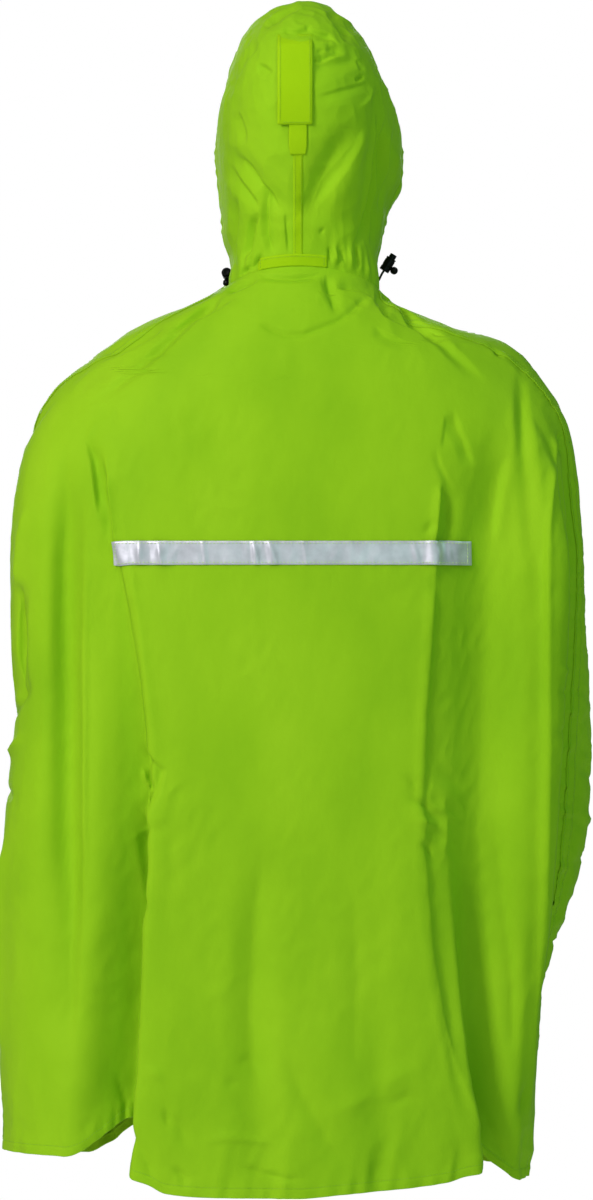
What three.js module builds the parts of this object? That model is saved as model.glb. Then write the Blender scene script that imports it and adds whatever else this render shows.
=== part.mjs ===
// Hooded rain poncho, filled out as worn and hollow inside, with a closed body and no sleeves.
//
// Millimetres, +Z up. The wearer faces -Y, so the wearer's left is +X and the back is +Y.
// The origin is the middle of the neck, level with the hood's seam at the nape, where the
// garment rests on its wearer.
//
// Every place on the body is given by its drop, the length of cloth down the middle of the back
// from the neck seam, and its turn, the angle round the body: 0 is the middle of the back,
// 90 the wearer's left side, -90 the right side and 180 the middle of the front.

import * as THREE from 'three';

// Driving dimensions
const WALL = 1.6;
const SEAM_GAP = 0.3;
const SEWN_LIFT = 0.4;
const HEM_DROP = 1064;
const HEM_DEPTH = 11;
const HEM_RAISE = 0.7;

const STRIP_LEFT = 204;
const STRIP_RIGHT = -193;
const STRIP_TOP_DROP = 329;
const STRIP_HEIGHT = 25;
const STRIP_THICKNESS = 0.8;
const STRIP_LIFT = 0.6;

const FELL_WIDTH = 9;
const FELL_THICKNESS = 0.9;
const FELL_LIFT = 0.5;

const PLACKET_WIDTH = 46;
const PLACKET_END_DROP = 303;
const PLACKET_THICKNESS = 1.8;
const PLACKET_LIFT = 0.8;
const PLACKET_TOP_GAP = 3;

const HOOD_TAPE_WIDTH = 10;
const HOOD_TAPE_THICKNESS = 0.7;
const HOOD_TAPE_END_GAP = 0.8;
const HOOD_TAPE_TOP_RISE = 240;
const TAB_WIDTH = 39;
const TAB_LENGTH = 112;
const TAB_THICKNESS = 1.4;
const TAB_TOP_RISE = 272;
const TAB_SHIFT = 3.4;
const STRAP_WIDTH = 20;
const STRAP_THICKNESS = 1;
const STRAP_END_SHARE = 0.7;
const STRAP_LENGTH = 46;
const STRAP_END_RISE = 130;
const NAPE_PATCH_LEFT = 47;
const NAPE_PATCH_RIGHT = 33;
const NAPE_PATCH_HEIGHT = 13;
const NAPE_PATCH_THICKNESS = 1;
const TUNNEL_WIDTH = 22;
const TUNNEL_RAISE = 0.9;
const TUNNEL_STEP = 3;

const CORD_DIAMETER = 2.6;
const LOCK_DIAMETER = 10;
const LOCK_LENGTH = 17;
const BUTTON_DIAMETER = 8;
const BUTTON_LENGTH = 5;
const LOCK_ROUNDING = 1.6;
const BEAD_DIAMETER = 9;
const BEAD_SHIFT = -2;

// Fineness of the mesh
const BACK_COLUMNS = 54;
const FRONT_COLUMNS = 32;
const HOOD_COLUMNS = 14;
const RING_SAMPLES = 360;
const ROW_DROPS = [
  0, 22, 44, 70, 100, 134, 168, 204, 240, 277, 303, STRIP_TOP_DROP, STRIP_TOP_DROP + STRIP_HEIGHT,
  400, 450, 500, 555, 610, 665, 720, 775, 830, 885, 935, 980, 1020, HEM_DROP - HEM_DEPTH, HEM_DROP,
];
const HOOD_TOP_RISE = 470;
const HOOD_ROW_RISES = [
  0, NAPE_PATCH_HEIGHT, 40, 75, 108, 140, 172, 204, 240, 278, 318, 358, 398, 434, HOOD_TOP_RISE,
];

// Materials
const cloth = new THREE.MeshStandardMaterial({ color: 0x8cbe1c, roughness: 0.42, metalness: 0 });
const tape = new THREE.MeshStandardMaterial({ color: 0x96c40e, roughness: 0.4, metalness: 0 });
const reflective = new THREE.MeshStandardMaterial({ color: 0xb9bfc8, roughness: 0.38, metalness: 0.35 });
const blackPlastic = new THREE.MeshStandardMaterial({ color: 0x0b0b0d, roughness: 0.35, metalness: 0 });
const blackCord = new THREE.MeshStandardMaterial({ color: 0x0c0c0c, roughness: 0.75, metalness: 0 });

// Level sections of the body, one row each, from the neck seam to the hem.
// left, right, back and front are the reach from the origin; zLeft to zFront are the heights there.
const SECTIONS = [
  { drop: 0, zLeft: -22, zRight: -26, zBack: 0, zFront: -62,
    left: 78, right: 92, back: 60, front: 74, square: 2.0 },
  { drop: 40, zLeft: -39, zRight: -38, zBack: -32, zFront: -98,
    left: 111, right: 106, back: 86, front: 102, square: 2.1 },
  { drop: 89, zLeft: -66, zRight: -64, zBack: -75, zFront: -140,
    left: 180, right: 166, back: 109, front: 122, square: 2.2 },
  { drop: 134, zLeft: -95, zRight: -86, zBack: -118, zFront: -180,
    left: 224, right: 236, back: 122, front: 134, square: 2.3 },
  { drop: 182, zLeft: -134, zRight: -130, zBack: -165, zFront: -220,
    left: 272, right: 280, back: 131, front: 142, square: 2.4 },
  { drop: 229, zLeft: -180, zRight: -180, zBack: -212, zFront: -255,
    left: 300, right: 307, back: 137, front: 147, square: 2.5 },
  { drop: 277, zLeft: -240, zRight: -240, zBack: -260, zFront: -288,
    left: 318, right: 317, back: 141, front: 151, square: 2.5 },
  { drop: 329, zLeft: -312, zRight: -312, zBack: -312, zFront: -318,
    left: 326, right: 321, back: 143, front: 154, square: 2.5 },
  { drop: 437, zLeft: -420, zRight: -420, zBack: -420, zFront: -420,
    left: 327, right: 313, back: 145, front: 159, square: 2.5 },
  { drop: 520, zLeft: -503, zRight: -503, zBack: -503, zFront: -503,
    left: 321, right: 304, back: 146, front: 164, square: 2.5 },
  { drop: 618, zLeft: -601, zRight: -601, zBack: -601, zFront: -601,
    left: 330, right: 293, back: 147, front: 168, square: 2.5 },
  { drop: 730, zLeft: -713, zRight: -713, zBack: -713, zFront: -713,
    left: 338, right: 281, back: 148, front: 170, square: 2.5 },
  { drop: 830, zLeft: -813, zRight: -813, zBack: -813, zFront: -813,
    left: 339, right: 272, back: 149, front: 168, square: 2.5 },
  { drop: 954, zLeft: -937, zRight: -937, zBack: -937, zFront: -937,
    left: 338, right: 268, back: 150, front: 166, square: 2.5 },
  { drop: HEM_DROP, zLeft: -1047, zRight: -1047, zBack: -1047, zFront: -1047,
    left: 332, right: 258, back: 151, front: 164, square: 2.5 },
];

// Where the back and the front panel meet, as a turn on each side. Over the shoulder the seam
// lies behind the ridge. Down the arm it is in front of the left side and behind the right one.
const SEAMS = [
  { drop: 0, left: 76, right: 78 },
  { drop: 89, left: 66, right: 66 },
  { drop: 182, left: 84, right: 74 },
  { drop: 277, left: 96, right: 77.5 },
  { drop: 350, left: 97, right: 81 },
  { drop: 520, left: 98, right: 83 },
  { drop: 710, left: 98, right: 87 },
  { drop: 830, left: 98, right: 91 },
  { drop: HEM_DROP, left: 98, right: 95 },
];

// How far the hem is lifted above its lowest point, round the body, before the folds lift it more
const HEM_LIFTS = [
  { turn: -180, lift: 22 },
  { turn: -110, lift: 24 },
  { turn: -80, lift: 18 },
  { turn: -64, lift: 14 },
  { turn: -52, lift: 15 },
  { turn: -44, lift: 26 },
  { turn: -38, lift: 18 },
  { turn: -10, lift: 4 },
  { turn: 0, lift: 0 },
  { turn: 17, lift: 1 },
  { turn: 25, lift: 5 },
  { turn: 31, lift: 25 },
  { turn: 40, lift: 37 },
  { turn: 50, lift: 45 },
  { turn: 90, lift: 47 },
  { turn: 120, lift: 38 },
  { turn: 180, lift: 22 },
];
const HEM_LIFT_START = 760;
const HEM_LIFT_POWER = 1.5;

// The folds that run down the cloth. top, middle and bottom are where the fold lies at its start,
// half way and at its end: X on the back and the front, Y on the left and the right side.
// centre and side are how wide it is towards the middle of its face and towards the side seam.
// height is positive for a ridge and negative for a trough, fadeIn and fadeOut are the lengths
// over which it grows and dies away, and lift is how far it draws the hem up.
const FOLDS = [
  { name: 'left arm valley', face: 'back', top: 232, middle: 171, bottom: 192, centre: 20, side: 78,
    height: -52, from: 190, to: 1200, fadeIn: 700, fadeOut: 1, lift: 58 },
  { name: 'left panel edge', face: 'back', top: 205, middle: 146, bottom: 166, centre: 60, side: 14,
    height: 6, from: 240, to: 1200, fadeIn: 300, fadeOut: 1, lift: 0 },
  { name: 'right arm valley', face: 'back', top: -222, middle: -210, bottom: -226, centre: 74, side: 48,
    height: -21, from: 180, to: 1060, fadeIn: 160, fadeOut: 420, lift: 0 },
  { name: 'right hem valley', face: 'back', top: -190, middle: -200, bottom: -213, centre: 30, side: 60,
    height: -46, from: 600, to: 1200, fadeIn: 440, fadeOut: 1, lift: 42 },
  { name: 'right panel edge', face: 'back', top: -152, middle: -131, bottom: -186, centre: 60, side: 12,
    height: 6, from: 260, to: 1200, fadeIn: 300, fadeOut: 1, lift: 0 },
  { name: 'left sleeve dip', face: 'back', top: 262, middle: 266, bottom: 270, centre: 32, side: 30,
    height: -7, from: 240, to: 830, fadeIn: 160, fadeOut: 200, lift: 0 },
  { name: 'left elbow crease', face: 'left', top: 62, middle: 52, bottom: 58, centre: 12, side: 18,
    height: -8, from: 365, to: 520, fadeIn: 50, fadeOut: 60, lift: 0 },
  { name: 'right shoulder dip', face: 'back', top: -250, middle: -258, bottom: -266, centre: 16, side: 14,
    height: -6, from: 150, to: 400, fadeIn: 60, fadeOut: 90, lift: 0 },
  { name: 'right back corner', face: 'right', top: 84, middle: 76, bottom: 50, centre: 16, side: 54,
    height: 24, from: 180, to: 1060, fadeIn: 200, fadeOut: 420, lift: 0 },
  { name: 'right seam valley', face: 'right', top: 50, middle: 38, bottom: 4, centre: 30, side: 24,
    height: -14, from: 190, to: 900, fadeIn: 120, fadeOut: 120, lift: 0 },
  { name: 'right forearm', face: 'right', top: -20, middle: -34, bottom: -34, centre: 95, side: 88,
    height: 42, from: 300, to: 880, fadeIn: 330, fadeOut: 220, lift: 0 },
  { name: 'left shoulder seam dip', face: 'back', top: 84, middle: 150, bottom: 232, centre: 14, side: 12,
    height: -5, from: 30, to: 190, fadeIn: 30, fadeOut: 50, lift: 0 },
  { name: 'right shoulder seam dip', face: 'back', top: -94, middle: -152, bottom: -214, centre: 16, side: 12,
    height: -5, from: 26, to: 170, fadeIn: 30, fadeOut: 50, lift: 0 },
  { name: 'back left hem dip', face: 'back', top: 44, middle: 48, bottom: 40, centre: 34, side: 40,
    height: -6, from: 660, to: 1200, fadeIn: 240, fadeOut: 1, lift: 0 },
  { name: 'back right hem dip', face: 'back', top: -84, middle: -88, bottom: -92, centre: 34, side: 30,
    height: -5, from: 720, to: 1200, fadeIn: 240, fadeOut: 1, lift: 0 },
  { name: 'nape crease', face: 'back', top: -30, middle: -35, bottom: -46, centre: 9, side: 12,
    height: -3, from: 8, to: 75, fadeIn: 18, fadeOut: 26, lift: 0 },
  { name: 'front left valley', face: 'front', top: 214, middle: 176, bottom: 186, centre: 18, side: 60,
    height: -44, from: 230, to: 1200, fadeIn: 360, fadeOut: 1, lift: 40 },
  { name: 'front right valley', face: 'front', top: -196, middle: -162, bottom: -168, centre: 18, side: 58,
    height: -42, from: 250, to: 1200, fadeIn: 360, fadeOut: 1, lift: 38 },
  { name: 'front left dip', face: 'front', top: 84, middle: 72, bottom: 86, centre: 40, side: 36,
    height: -9, from: 320, to: 1200, fadeIn: 260, fadeOut: 1, lift: 0 },
  { name: 'front right dip', face: 'front', top: -76, middle: -92, bottom: -80, centre: 36, side: 40,
    height: -10, from: 360, to: 1200, fadeIn: 240, fadeOut: 1, lift: 0 },
  { name: 'front left sleeve ridge', face: 'front', top: 256, middle: 262, bottom: 268, centre: 34, side: 34,
    height: 9, from: 300, to: 1200, fadeIn: 200, fadeOut: 1, lift: 0 },
];

// Groups of small gathers that the elastic draws up along the hem
const HEM_GATHERS = [
  { face: 'back', from: 186, to: 240, count: 5, length: 44, height: 3.2 },
  { face: 'back', from: -158, to: -20, count: 6, length: 30, height: 1.8 },
  { face: 'back', from: -252, to: -220, count: 3, length: 30, height: 2.4 },
  { face: 'front', from: 150, to: 196, count: 4, length: 36, height: 2.6 },
  { face: 'front', from: -180, to: -140, count: 4, length: 36, height: 2.6 },
  { face: 'front', from: -60, to: 60, count: 5, length: 28, height: 1.8 },
];

// Arches of the hood, one row each, from the nape over the crown to the brim. rise is the length
// along the middle seam. seamY and seamZ are on that seam, sideY and sideZ at the widest place,
// left and right are the half widths there, and end is the turn at which the face opening cuts it.
const ARCHES = [
  { rise: 0, seamY: 60, seamZ: 0, sideY: 0, sideZ: -24, left: 78, right: 92, end: 172 },
  { rise: 22, seamY: 62, seamZ: 22, sideY: -8, sideZ: -8, left: 75, right: 90, end: 136 },
  { rise: 45, seamY: 66, seamZ: 45, sideY: -14, sideZ: 8, left: 77, right: 90, end: 118 },
  { rise: 98, seamY: 84, seamZ: 95, sideY: -24, sideZ: 42, left: 84, right: 96, end: 108 },
  { rise: 152, seamY: 101, seamZ: 145, sideY: -37, sideZ: 76, left: 87, right: 105, end: 103 },
  { rise: 197, seamY: 107, seamZ: 190, sideY: -50, sideZ: 108, left: 90, right: 118, end: 99 },
  { rise: 244, seamY: 98, seamZ: 237, sideY: -62, sideZ: 136, left: 93, right: 118, end: 96 },
  { rise: 298, seamY: 66, seamZ: 280, sideY: -72, sideZ: 156, left: 88, right: 106, end: 94 },
  { rise: 355, seamY: 12, seamZ: 303, sideY: -80, sideZ: 170, left: 84, right: 97, end: 93 },
  { rise: 411, seamY: -42, seamZ: 289, sideY: -86, sideZ: 178, left: 84, right: 95, end: 92 },
  { rise: 470, seamY: -88, seamZ: 252, sideY: -92, sideZ: 184, left: 85, right: 96, end: 91 },
];
const HOOD_SQUARE = 2.1;

// Creases of the hood as seen from behind, each from one point to another, in X and Z
const HOOD_CREASES = [
  { name: 'left long crease', x1: 75, z1: 132, x2: 14, z2: 64, width: 9, height: -4 },
  { name: 'left short crease', x1: 77, z1: 120, x2: 42, z2: 70, width: 7, height: -3 },
  { name: 'left upright crease', x1: 34, z1: 84, x2: 26, z2: 18, width: 6, height: -2.5 },
  { name: 'right soft trough', x1: -52, z1: 140, x2: -12, z2: 56, width: 16, height: -6 },
  { name: 'right soft ridge', x1: -78, z1: 150, x2: -34, z2: 66, width: 15, height: 4 },
  { name: 'right band edge', x1: -88, z1: 190, x2: -72, z2: 36, width: 8, height: -4 },
  { name: 'right crown crease', x1: -20, z1: 222, x2: -64, z2: 230, width: 7, height: -3 },
];

// Small gathers where the hood is eased into the neck seam, in X, on each side of the nape patch
const HOOD_GATHERS = [
  { from: 46, to: 68, count: 3, length: 34, height: 2.2 },
  { from: -84, to: -37, count: 5, length: 42, height: 2.4 },
];

// The drawcord at each cheek: the centre and the direction of its lock, which way its bead lies
// against the lock, and the way from the tunnel's mouth to the lower end of the lock
const CORDS = {
  right: {
    lock: [-102.5, -46, 6],
    axis: [-0.53, 0, 0.85],
    beadSide: [-0.57, 0, -0.82],
    route: [[-84.5, -53, -15], [-91, -50, -13]],
  },
  left: {
    lock: [81, -40, -5],
    axis: [0.06, 0.98, 0.16],
    beadSide: [0.05, 0.1, -1],
    route: [[70, -57, -11], [76, -59, -9]],
  },
};
const CORD_GAP = 0.3;

// Small helpers
const DEGREE = Math.PI / 180;
const smooth = (value) => {
  const t = THREE.MathUtils.clamp(value, 0, 1);
  return t * t * (3 - 2 * t);
};

// A smooth curve through one column of a table, which never overshoots between two rows
function curveThrough(rows, key, column) {
  const x = rows.map((row) => row[key]);
  const y = rows.map((row) => row[column]);
  const last = x.length - 1;
  const secant = [];
  for (let i = 0; i < last; i += 1) secant.push((y[i + 1] - y[i]) / (x[i + 1] - x[i]));
  const slope = x.map((_, i) => {
    if (i === 0) return secant[0];
    if (i === last) return secant[last - 1];
    if (secant[i - 1] * secant[i] <= 0) return 0;
    const before = x[i] - x[i - 1];
    const after = x[i + 1] - x[i];
    const weight = (2 * after + before) / secant[i - 1] + (after + 2 * before) / secant[i];
    return (3 * (before + after)) / weight;
  });
  return (at) => {
    const clamped = THREE.MathUtils.clamp(at, x[0], x[last]);
    let i = 0;
    while (i < last - 1 && clamped > x[i + 1]) i += 1;
    const span = x[i + 1] - x[i];
    const t = (clamped - x[i]) / span;
    const t2 = t * t;
    const t3 = t2 * t;
    const ends = y[i] * (2 * t3 - 3 * t2 + 1) + y[i + 1] * (3 * t2 - 2 * t3);
    return ends + span * (slope[i] * (t3 - 2 * t2 + t) + slope[i + 1] * (t3 - t2));
  };
}

function curvesThrough(rows, key) {
  const curves = {};
  for (const column of Object.keys(rows[0])) {
    if (column !== key) curves[column] = curveThrough(rows, key, column);
  }
  return curves;
}

// A point on the unit rounded square at a turn: [towards the side, towards the back]
function roundedSquare(turn, square) {
  const across = Math.sin(turn * DEGREE);
  const along = Math.cos(turn * DEGREE);
  const reach = (Math.abs(across) ** square + Math.abs(along) ** square) ** (-1 / square);
  return [across * reach, along * reach];
}

// The smooth body, before its folds
const sectionCurves = curvesThrough(SECTIONS, 'drop');
const HEIGHT_POWER = 1.2;
function smoothBody(drop, turn) {
  const section = {};
  for (const [name, curve] of Object.entries(sectionCurves)) section[name] = curve(drop);
  const [across, along] = roundedSquare(turn, section.square);
  const x = across * (across > 0 ? section.left : section.right);
  const y = along * (along > 0 ? section.back : section.front);
  const zSide = THREE.MathUtils.lerp(section.zRight, section.zLeft, (across + 1) / 2);
  const zEnd = along > 0 ? section.zBack : section.zFront;
  const z = zSide + (zEnd - zSide) * Math.abs(along) ** HEIGHT_POWER;
  return new THREE.Vector3(x, y, z);
}

// The normal of any surface given by two numbers, from four near points on it
function surfaceNormal(surface, first, second, firstStep, secondStep) {
  const along = surface(first, second + secondStep).sub(surface(first, second - secondStep));
  const down = surface(first + firstStep, second).sub(surface(first - firstStep, second));
  return along.cross(down).normalize();
}

// Turns and lengths round one section. Length 0 is at a turn of -180.
const sectionCache = new Map();
function roundSection(drop) {
  if (sectionCache.has(drop)) return sectionCache.get(drop);
  const lengths = [0];
  let before = smoothBody(drop, -180);
  for (let i = 1; i <= RING_SAMPLES; i += 1) {
    const point = smoothBody(drop, -180 + (360 * i) / RING_SAMPLES);
    lengths.push(lengths[i - 1] + point.distanceTo(before));
    before = point;
  }
  const section = { total: lengths[RING_SAMPLES] };
  section.lengthAt = (turn) => {
    const place = ((turn + 180) / 360) * RING_SAMPLES;
    const i = THREE.MathUtils.clamp(Math.floor(place), 0, RING_SAMPLES - 1);
    return lengths[i] + (place - i) * (lengths[i + 1] - lengths[i]);
  };
  section.turnAt = (length) => {
    const around = Math.floor(length / section.total);
    const rest = length - around * section.total;
    let low = 0;
    let high = RING_SAMPLES;
    while (high - low > 1) {
      const middle = Math.floor((low + high) / 2);
      if (lengths[middle] <= rest) low = middle;
      else high = middle;
    }
    const part = (rest - lengths[low]) / (lengths[high] - lengths[low]);
    return -180 + (360 * (low + part)) / RING_SAMPLES + 360 * around;
  };
  sectionCache.set(drop, section);
  return section;
}

// The turn of a place on one face, from its X on the back or front, or its Y on a side
function turnOnFace(drop, face, place) {
  const square = sectionCurves.square(drop);
  const other = (share) => Math.max(1 - Math.min(share, 0.995) ** square, 0) ** (1 / square);
  if (face === 'back' || face === 'front') {
    const share = Math.abs(place) / sectionCurves[place > 0 ? 'left' : 'right'](drop);
    const turn = Math.atan2(Math.min(share, 0.995), other(share)) / DEGREE;
    return Math.sign(place) * (face === 'back' ? turn : 180 - turn);
  }
  const share = Math.abs(place) / sectionCurves[place > 0 ? 'back' : 'front'](drop);
  const turn = Math.atan2(other(share), Math.sign(place) * Math.min(share, 0.995)) / DEGREE;
  return face === 'left' ? turn : -turn;
}

// The line of a fold: the turn at which it lies at each drop
for (const fold of FOLDS) {
  const end = Math.min(fold.to, HEM_DROP);
  const line = [
    { at: fold.from, x: fold.top },
    { at: (fold.from + end) / 2, x: fold.middle },
    { at: end, x: fold.bottom },
  ];
  fold.place = curveThrough(line, 'at', 'x');
  fold.turn = (drop) => turnOnFace(drop, fold.face, fold.place(drop));
}

// Which way the side seam lies from the middle of the fold's face, along the length round
function sideDirection(fold) {
  if (fold.face === 'back') return fold.top > 0 ? 1 : -1;
  if (fold.face === 'front') return fold.top > 0 ? -1 : 1;
  return fold.face === 'right' ? 1 : -1;
}

function aroundDistance(length, from, total) {
  let distance = length - from;
  distance -= Math.round(distance / total) * total;
  return distance;
}

// How strongly a fold acts at a place: 1 on its line at full strength, 0 outside it
function foldShare(fold, drop, length, section) {
  const strength = smooth((drop - fold.from) / fold.fadeIn) * smooth((fold.to - drop) / fold.fadeOut);
  if (strength === 0) return 0;
  const distance = aroundDistance(length, section.lengthAt(fold.turn(drop)), section.total);
  const towardsSide = distance * sideDirection(fold);
  const part = Math.abs(towardsSide) / (towardsSide > 0 ? fold.side : fold.centre);
  return part < 1 ? (strength * (1 + Math.cos(Math.PI * part))) / 2 : 0;
}

// Gathers: a row of small ridges between two places, which die away up from the hem
function gatherHeight(group, drop, length, section) {
  const strength = smooth((drop - (HEM_DROP - group.length)) / group.length);
  if (strength === 0) return 0;
  const start = section.lengthAt(turnOnFace(drop, group.face, group.from));
  const end = section.lengthAt(turnOnFace(drop, group.face, group.to));
  const part = (length - Math.min(start, end)) / Math.abs(end - start);
  if (part <= 0 || part >= 1) return 0;
  return group.height * strength * Math.sin(Math.PI * part * group.count) ** 2;
}

const hemLift = curveThrough(HEM_LIFTS, 'turn', 'lift');

// A point on the outside of the body, with its folds, gathers and lifted hem
function body(drop, turn) {
  const section = roundSection(drop);
  const wrapped = turn > 180 ? turn - 360 : turn;
  const length = section.lengthAt(wrapped);
  let height = 0;
  let lift = hemLift(wrapped);
  for (const fold of FOLDS) {
    const share = foldShare(fold, drop, length, section);
    height += fold.height * share;
    lift += fold.lift * share;
  }
  for (const group of HEM_GATHERS) height += gatherHeight(group, drop, length, section);
  const normal = surfaceNormal(smoothBody, drop, wrapped, 1, 0.2);
  const point = smoothBody(drop, wrapped).addScaledVector(normal, height);
  point.z += lift * smooth((drop - HEM_LIFT_START) / (HEM_DROP - HEM_LIFT_START)) ** HEM_LIFT_POWER;
  return point;
}

// Solids from grids of points

// A wall between an outer and an inner grid. Rows run down and columns run to the wearer's left
// as seen from outside the back.
function wallGeometry(outer, inner) {
  const rows = outer.length;
  const columns = outer[0].length;
  const positions = [];
  for (const grid of [outer, inner]) {
    for (const row of grid) for (const point of row) positions.push(point.x, point.y, point.z);
  }
  const index = [];
  const at = (row, column) => row * columns + column;
  const inside = rows * columns;
  for (let row = 0; row < rows - 1; row += 1) {
    for (let column = 0; column < columns - 1; column += 1) {
      const a = at(row, column);
      const b = at(row, column + 1);
      const c = at(row + 1, column);
      const d = at(row + 1, column + 1);
      index.push(a, b, c, b, d, c);
      index.push(a + inside, c + inside, b + inside, b + inside, c + inside, d + inside);
    }
  }
  const rim = (from, to) => index.push(to, from, from + inside, to, from + inside, to + inside);
  for (let column = 0; column < columns - 1; column += 1) {
    rim(at(0, column), at(0, column + 1));
    rim(at(rows - 1, column + 1), at(rows - 1, column));
  }
  for (let row = 0; row < rows - 1; row += 1) {
    rim(at(row + 1, 0), at(row, 0));
    rim(at(row, columns - 1), at(row + 1, columns - 1));
  }
  const geometry = new THREE.BufferGeometry();
  geometry.setAttribute('position', new THREE.Float32BufferAttribute(positions, 3));
  geometry.setIndex(index);
  geometry.computeVertexNormals();
  return geometry;
}

// A panel keeps its outer points and their normals, so that what is sewn on it can be made from them
function panelFrom(pointRows, normalRows, raiseAt) {
  const outer = pointRows.map((row, r) => row.map((point, c) => (
    point.clone().addScaledVector(normalRows[r][c], raiseAt(r, c))
  )));
  const inner = pointRows.map((row, r) => row.map((point, c) => (
    point.clone().addScaledVector(normalRows[r][c], -WALL)
  )));
  return { points: outer, normals: normalRows, geometry: wallGeometry(outer, inner) };
}

// A point and normal on one row of a panel, at a column that may lie between two
function onRow(panel, row, column) {
  const last = panel.points[row].length - 1;
  const i = THREE.MathUtils.clamp(Math.floor(column), 0, last - 1);
  const part = column - i;
  const point = panel.points[row][i].clone().lerp(panel.points[row][i + 1], part);
  const normal = panel.normals[row][i].clone().lerp(panel.normals[row][i + 1], part).normalize();
  return { point, normal };
}

// The column of a panel's row that lies a length in from its first or last column
function columnAtLength(panel, row, length, fromEnd) {
  const points = panel.points[row];
  const last = points.length - 1;
  let walked = 0;
  for (let i = 0; i < last; i += 1) {
    const from = fromEnd ? last - i : i;
    const to = fromEnd ? last - i - 1 : i + 1;
    const step = points[from].distanceTo(points[to]);
    if (walked + step >= length) {
      const part = (length - walked) / step;
      return fromEnd ? from - part : from + part;
    }
    walked += step;
  }
  return fromEnd ? 0 : last;
}

// The column of a panel's row at which X has a value
function columnAtX(panel, row, x) {
  const points = panel.points[row];
  for (let i = 0; i < points.length - 1; i += 1) {
    const before = points[i].x - x;
    const after = points[i + 1].x - x;
    if (before * after <= 0) return i + before / (before - after);
  }
  throw new Error(`no column at X ${x}`);
}

// Moves one row of a sewn piece a little way towards another, to keep the piece clear of a seam
function drawIn(rows, index, towards, amount) {
  rows[index] = rows[index].map(({ point, normal }, column) => {
    const target = rows[towards][column].point;
    return { point: point.clone().lerp(target, amount / point.distanceTo(target)), normal };
  });
}

// A piece that lies on a surface, from rows of points and normals on it
function sewnOn(rows, lift, thickness) {
  const moved = (amount) => rows.map((row) => row.map(({ point, normal }) => (
    point.clone().addScaledVector(normal, amount)
  )));
  return wallGeometry(moved(lift + thickness), moved(lift));
}

// The body panels

// Columns are closer together where a fold is steep
const FOLD_CLOSENESS = 3.2;
const FOLD_REACH = 24;
function closenessAt(drop, length, section) {
  let closeness = 1;
  for (const fold of FOLDS) {
    const steep = Math.abs(fold.height) / Math.min(fold.centre, fold.side);
    if (steep > 0.5) {
      const line = section.lengthAt(fold.turn(drop)) - sideDirection(fold) * fold.centre * 0.4;
      const distance = aroundDistance(length, line, section.total);
      closeness += FOLD_CLOSENESS * Math.exp(-((distance / FOLD_REACH) ** 2));
    }
  }
  return closeness;
}

// The first and last columns are as wide as the felled seam that lies on them
function panelTurns(drop, fromLength, toLength, columns) {
  const section = roundSection(drop);
  const steps = 400;
  const from = fromLength + FELL_WIDTH / 2;
  const to = toLength - FELL_WIDTH / 2;
  const sums = [0];
  for (let i = 1; i <= steps; i += 1) {
    sums.push(sums[i - 1] + closenessAt(drop, THREE.MathUtils.lerp(from, to, (i - 0.5) / steps), section));
  }
  const lengths = [fromLength];
  let i = 0;
  for (let column = 0; column <= columns - 2; column += 1) {
    const wanted = (sums[steps] * column) / (columns - 2);
    while (i < steps - 1 && sums[i + 1] < wanted) i += 1;
    const part = (wanted - sums[i]) / (sums[i + 1] - sums[i]);
    lengths.push(THREE.MathUtils.lerp(from, to, (i + part) / steps));
  }
  lengths.push(toLength);
  return lengths.map((length) => section.turnAt(length));
}

const seamCurves = curvesThrough(SEAMS, 'drop');
function bodyPanel(side, columns) {
  const pointRows = [];
  const normalRows = [];
  for (const drop of ROW_DROPS) {
    const section = roundSection(drop);
    const right = section.lengthAt(-seamCurves.right(drop));
    const left = section.lengthAt(seamCurves.left(drop));
    const half = SEAM_GAP / 2;
    const [from, to] = side === 'back' ? [right, left] : [left, right + section.total];
    const turns = panelTurns(drop, from + half, to - half, columns);
    pointRows.push(turns.map((turn) => body(drop, turn)));

    // Both panels take one normal at their seam, so that their walls stay side by side there
    turns[0] = section.turnAt(from);
    turns[turns.length - 1] = section.turnAt(to);
    const safeDrop = THREE.MathUtils.clamp(drop, 2, HEM_DROP - 2);
    normalRows.push(turns.map((turn) => surfaceNormal(body, safeDrop, turn, 1.5, 0.25)));
  }
  const hemRow = ROW_DROPS.indexOf(HEM_DROP - HEM_DEPTH);
  return panelFrom(pointRows, normalRows, (row) => (row >= hemRow ? HEM_RAISE : 0));
}

const backPanel = bodyPanel('back', BACK_COLUMNS);
const frontPanel = bodyPanel('front', FRONT_COLUMNS);

// The hood

const archCurves = curvesThrough(ARCHES, 'rise');
const NECK_BLEND = 45;
const NECK_CLEARANCE = 0.6;

function distanceToSegment(x, z, crease) {
  const dx = crease.x2 - crease.x1;
  const dz = crease.z2 - crease.z1;
  const part = ((x - crease.x1) * dx + (z - crease.z1) * dz) / (dx * dx + dz * dz);
  const across = Math.abs((x - crease.x1) * dz - (z - crease.z1) * dx) / Math.hypot(dx, dz);
  return { part, across };
}

function smoothHood(rise, turn) {
  const arch = {};
  for (const [name, curve] of Object.entries(archCurves)) arch[name] = curve(rise);
  const [across, along] = roundedSquare(turn, HOOD_SQUARE);
  const x = across * (across > 0 ? arch.left : arch.right);
  const y = arch.sideY + (arch.seamY - arch.sideY) * along;
  const z = arch.sideZ + (arch.seamZ - arch.sideZ) * along;
  const arched = new THREE.Vector3(x, y, z);
  const seam = smoothBody(0, turn);
  seam.z += NECK_CLEARANCE + rise;
  return seam.lerp(arched, smooth(rise / NECK_BLEND));
}

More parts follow.
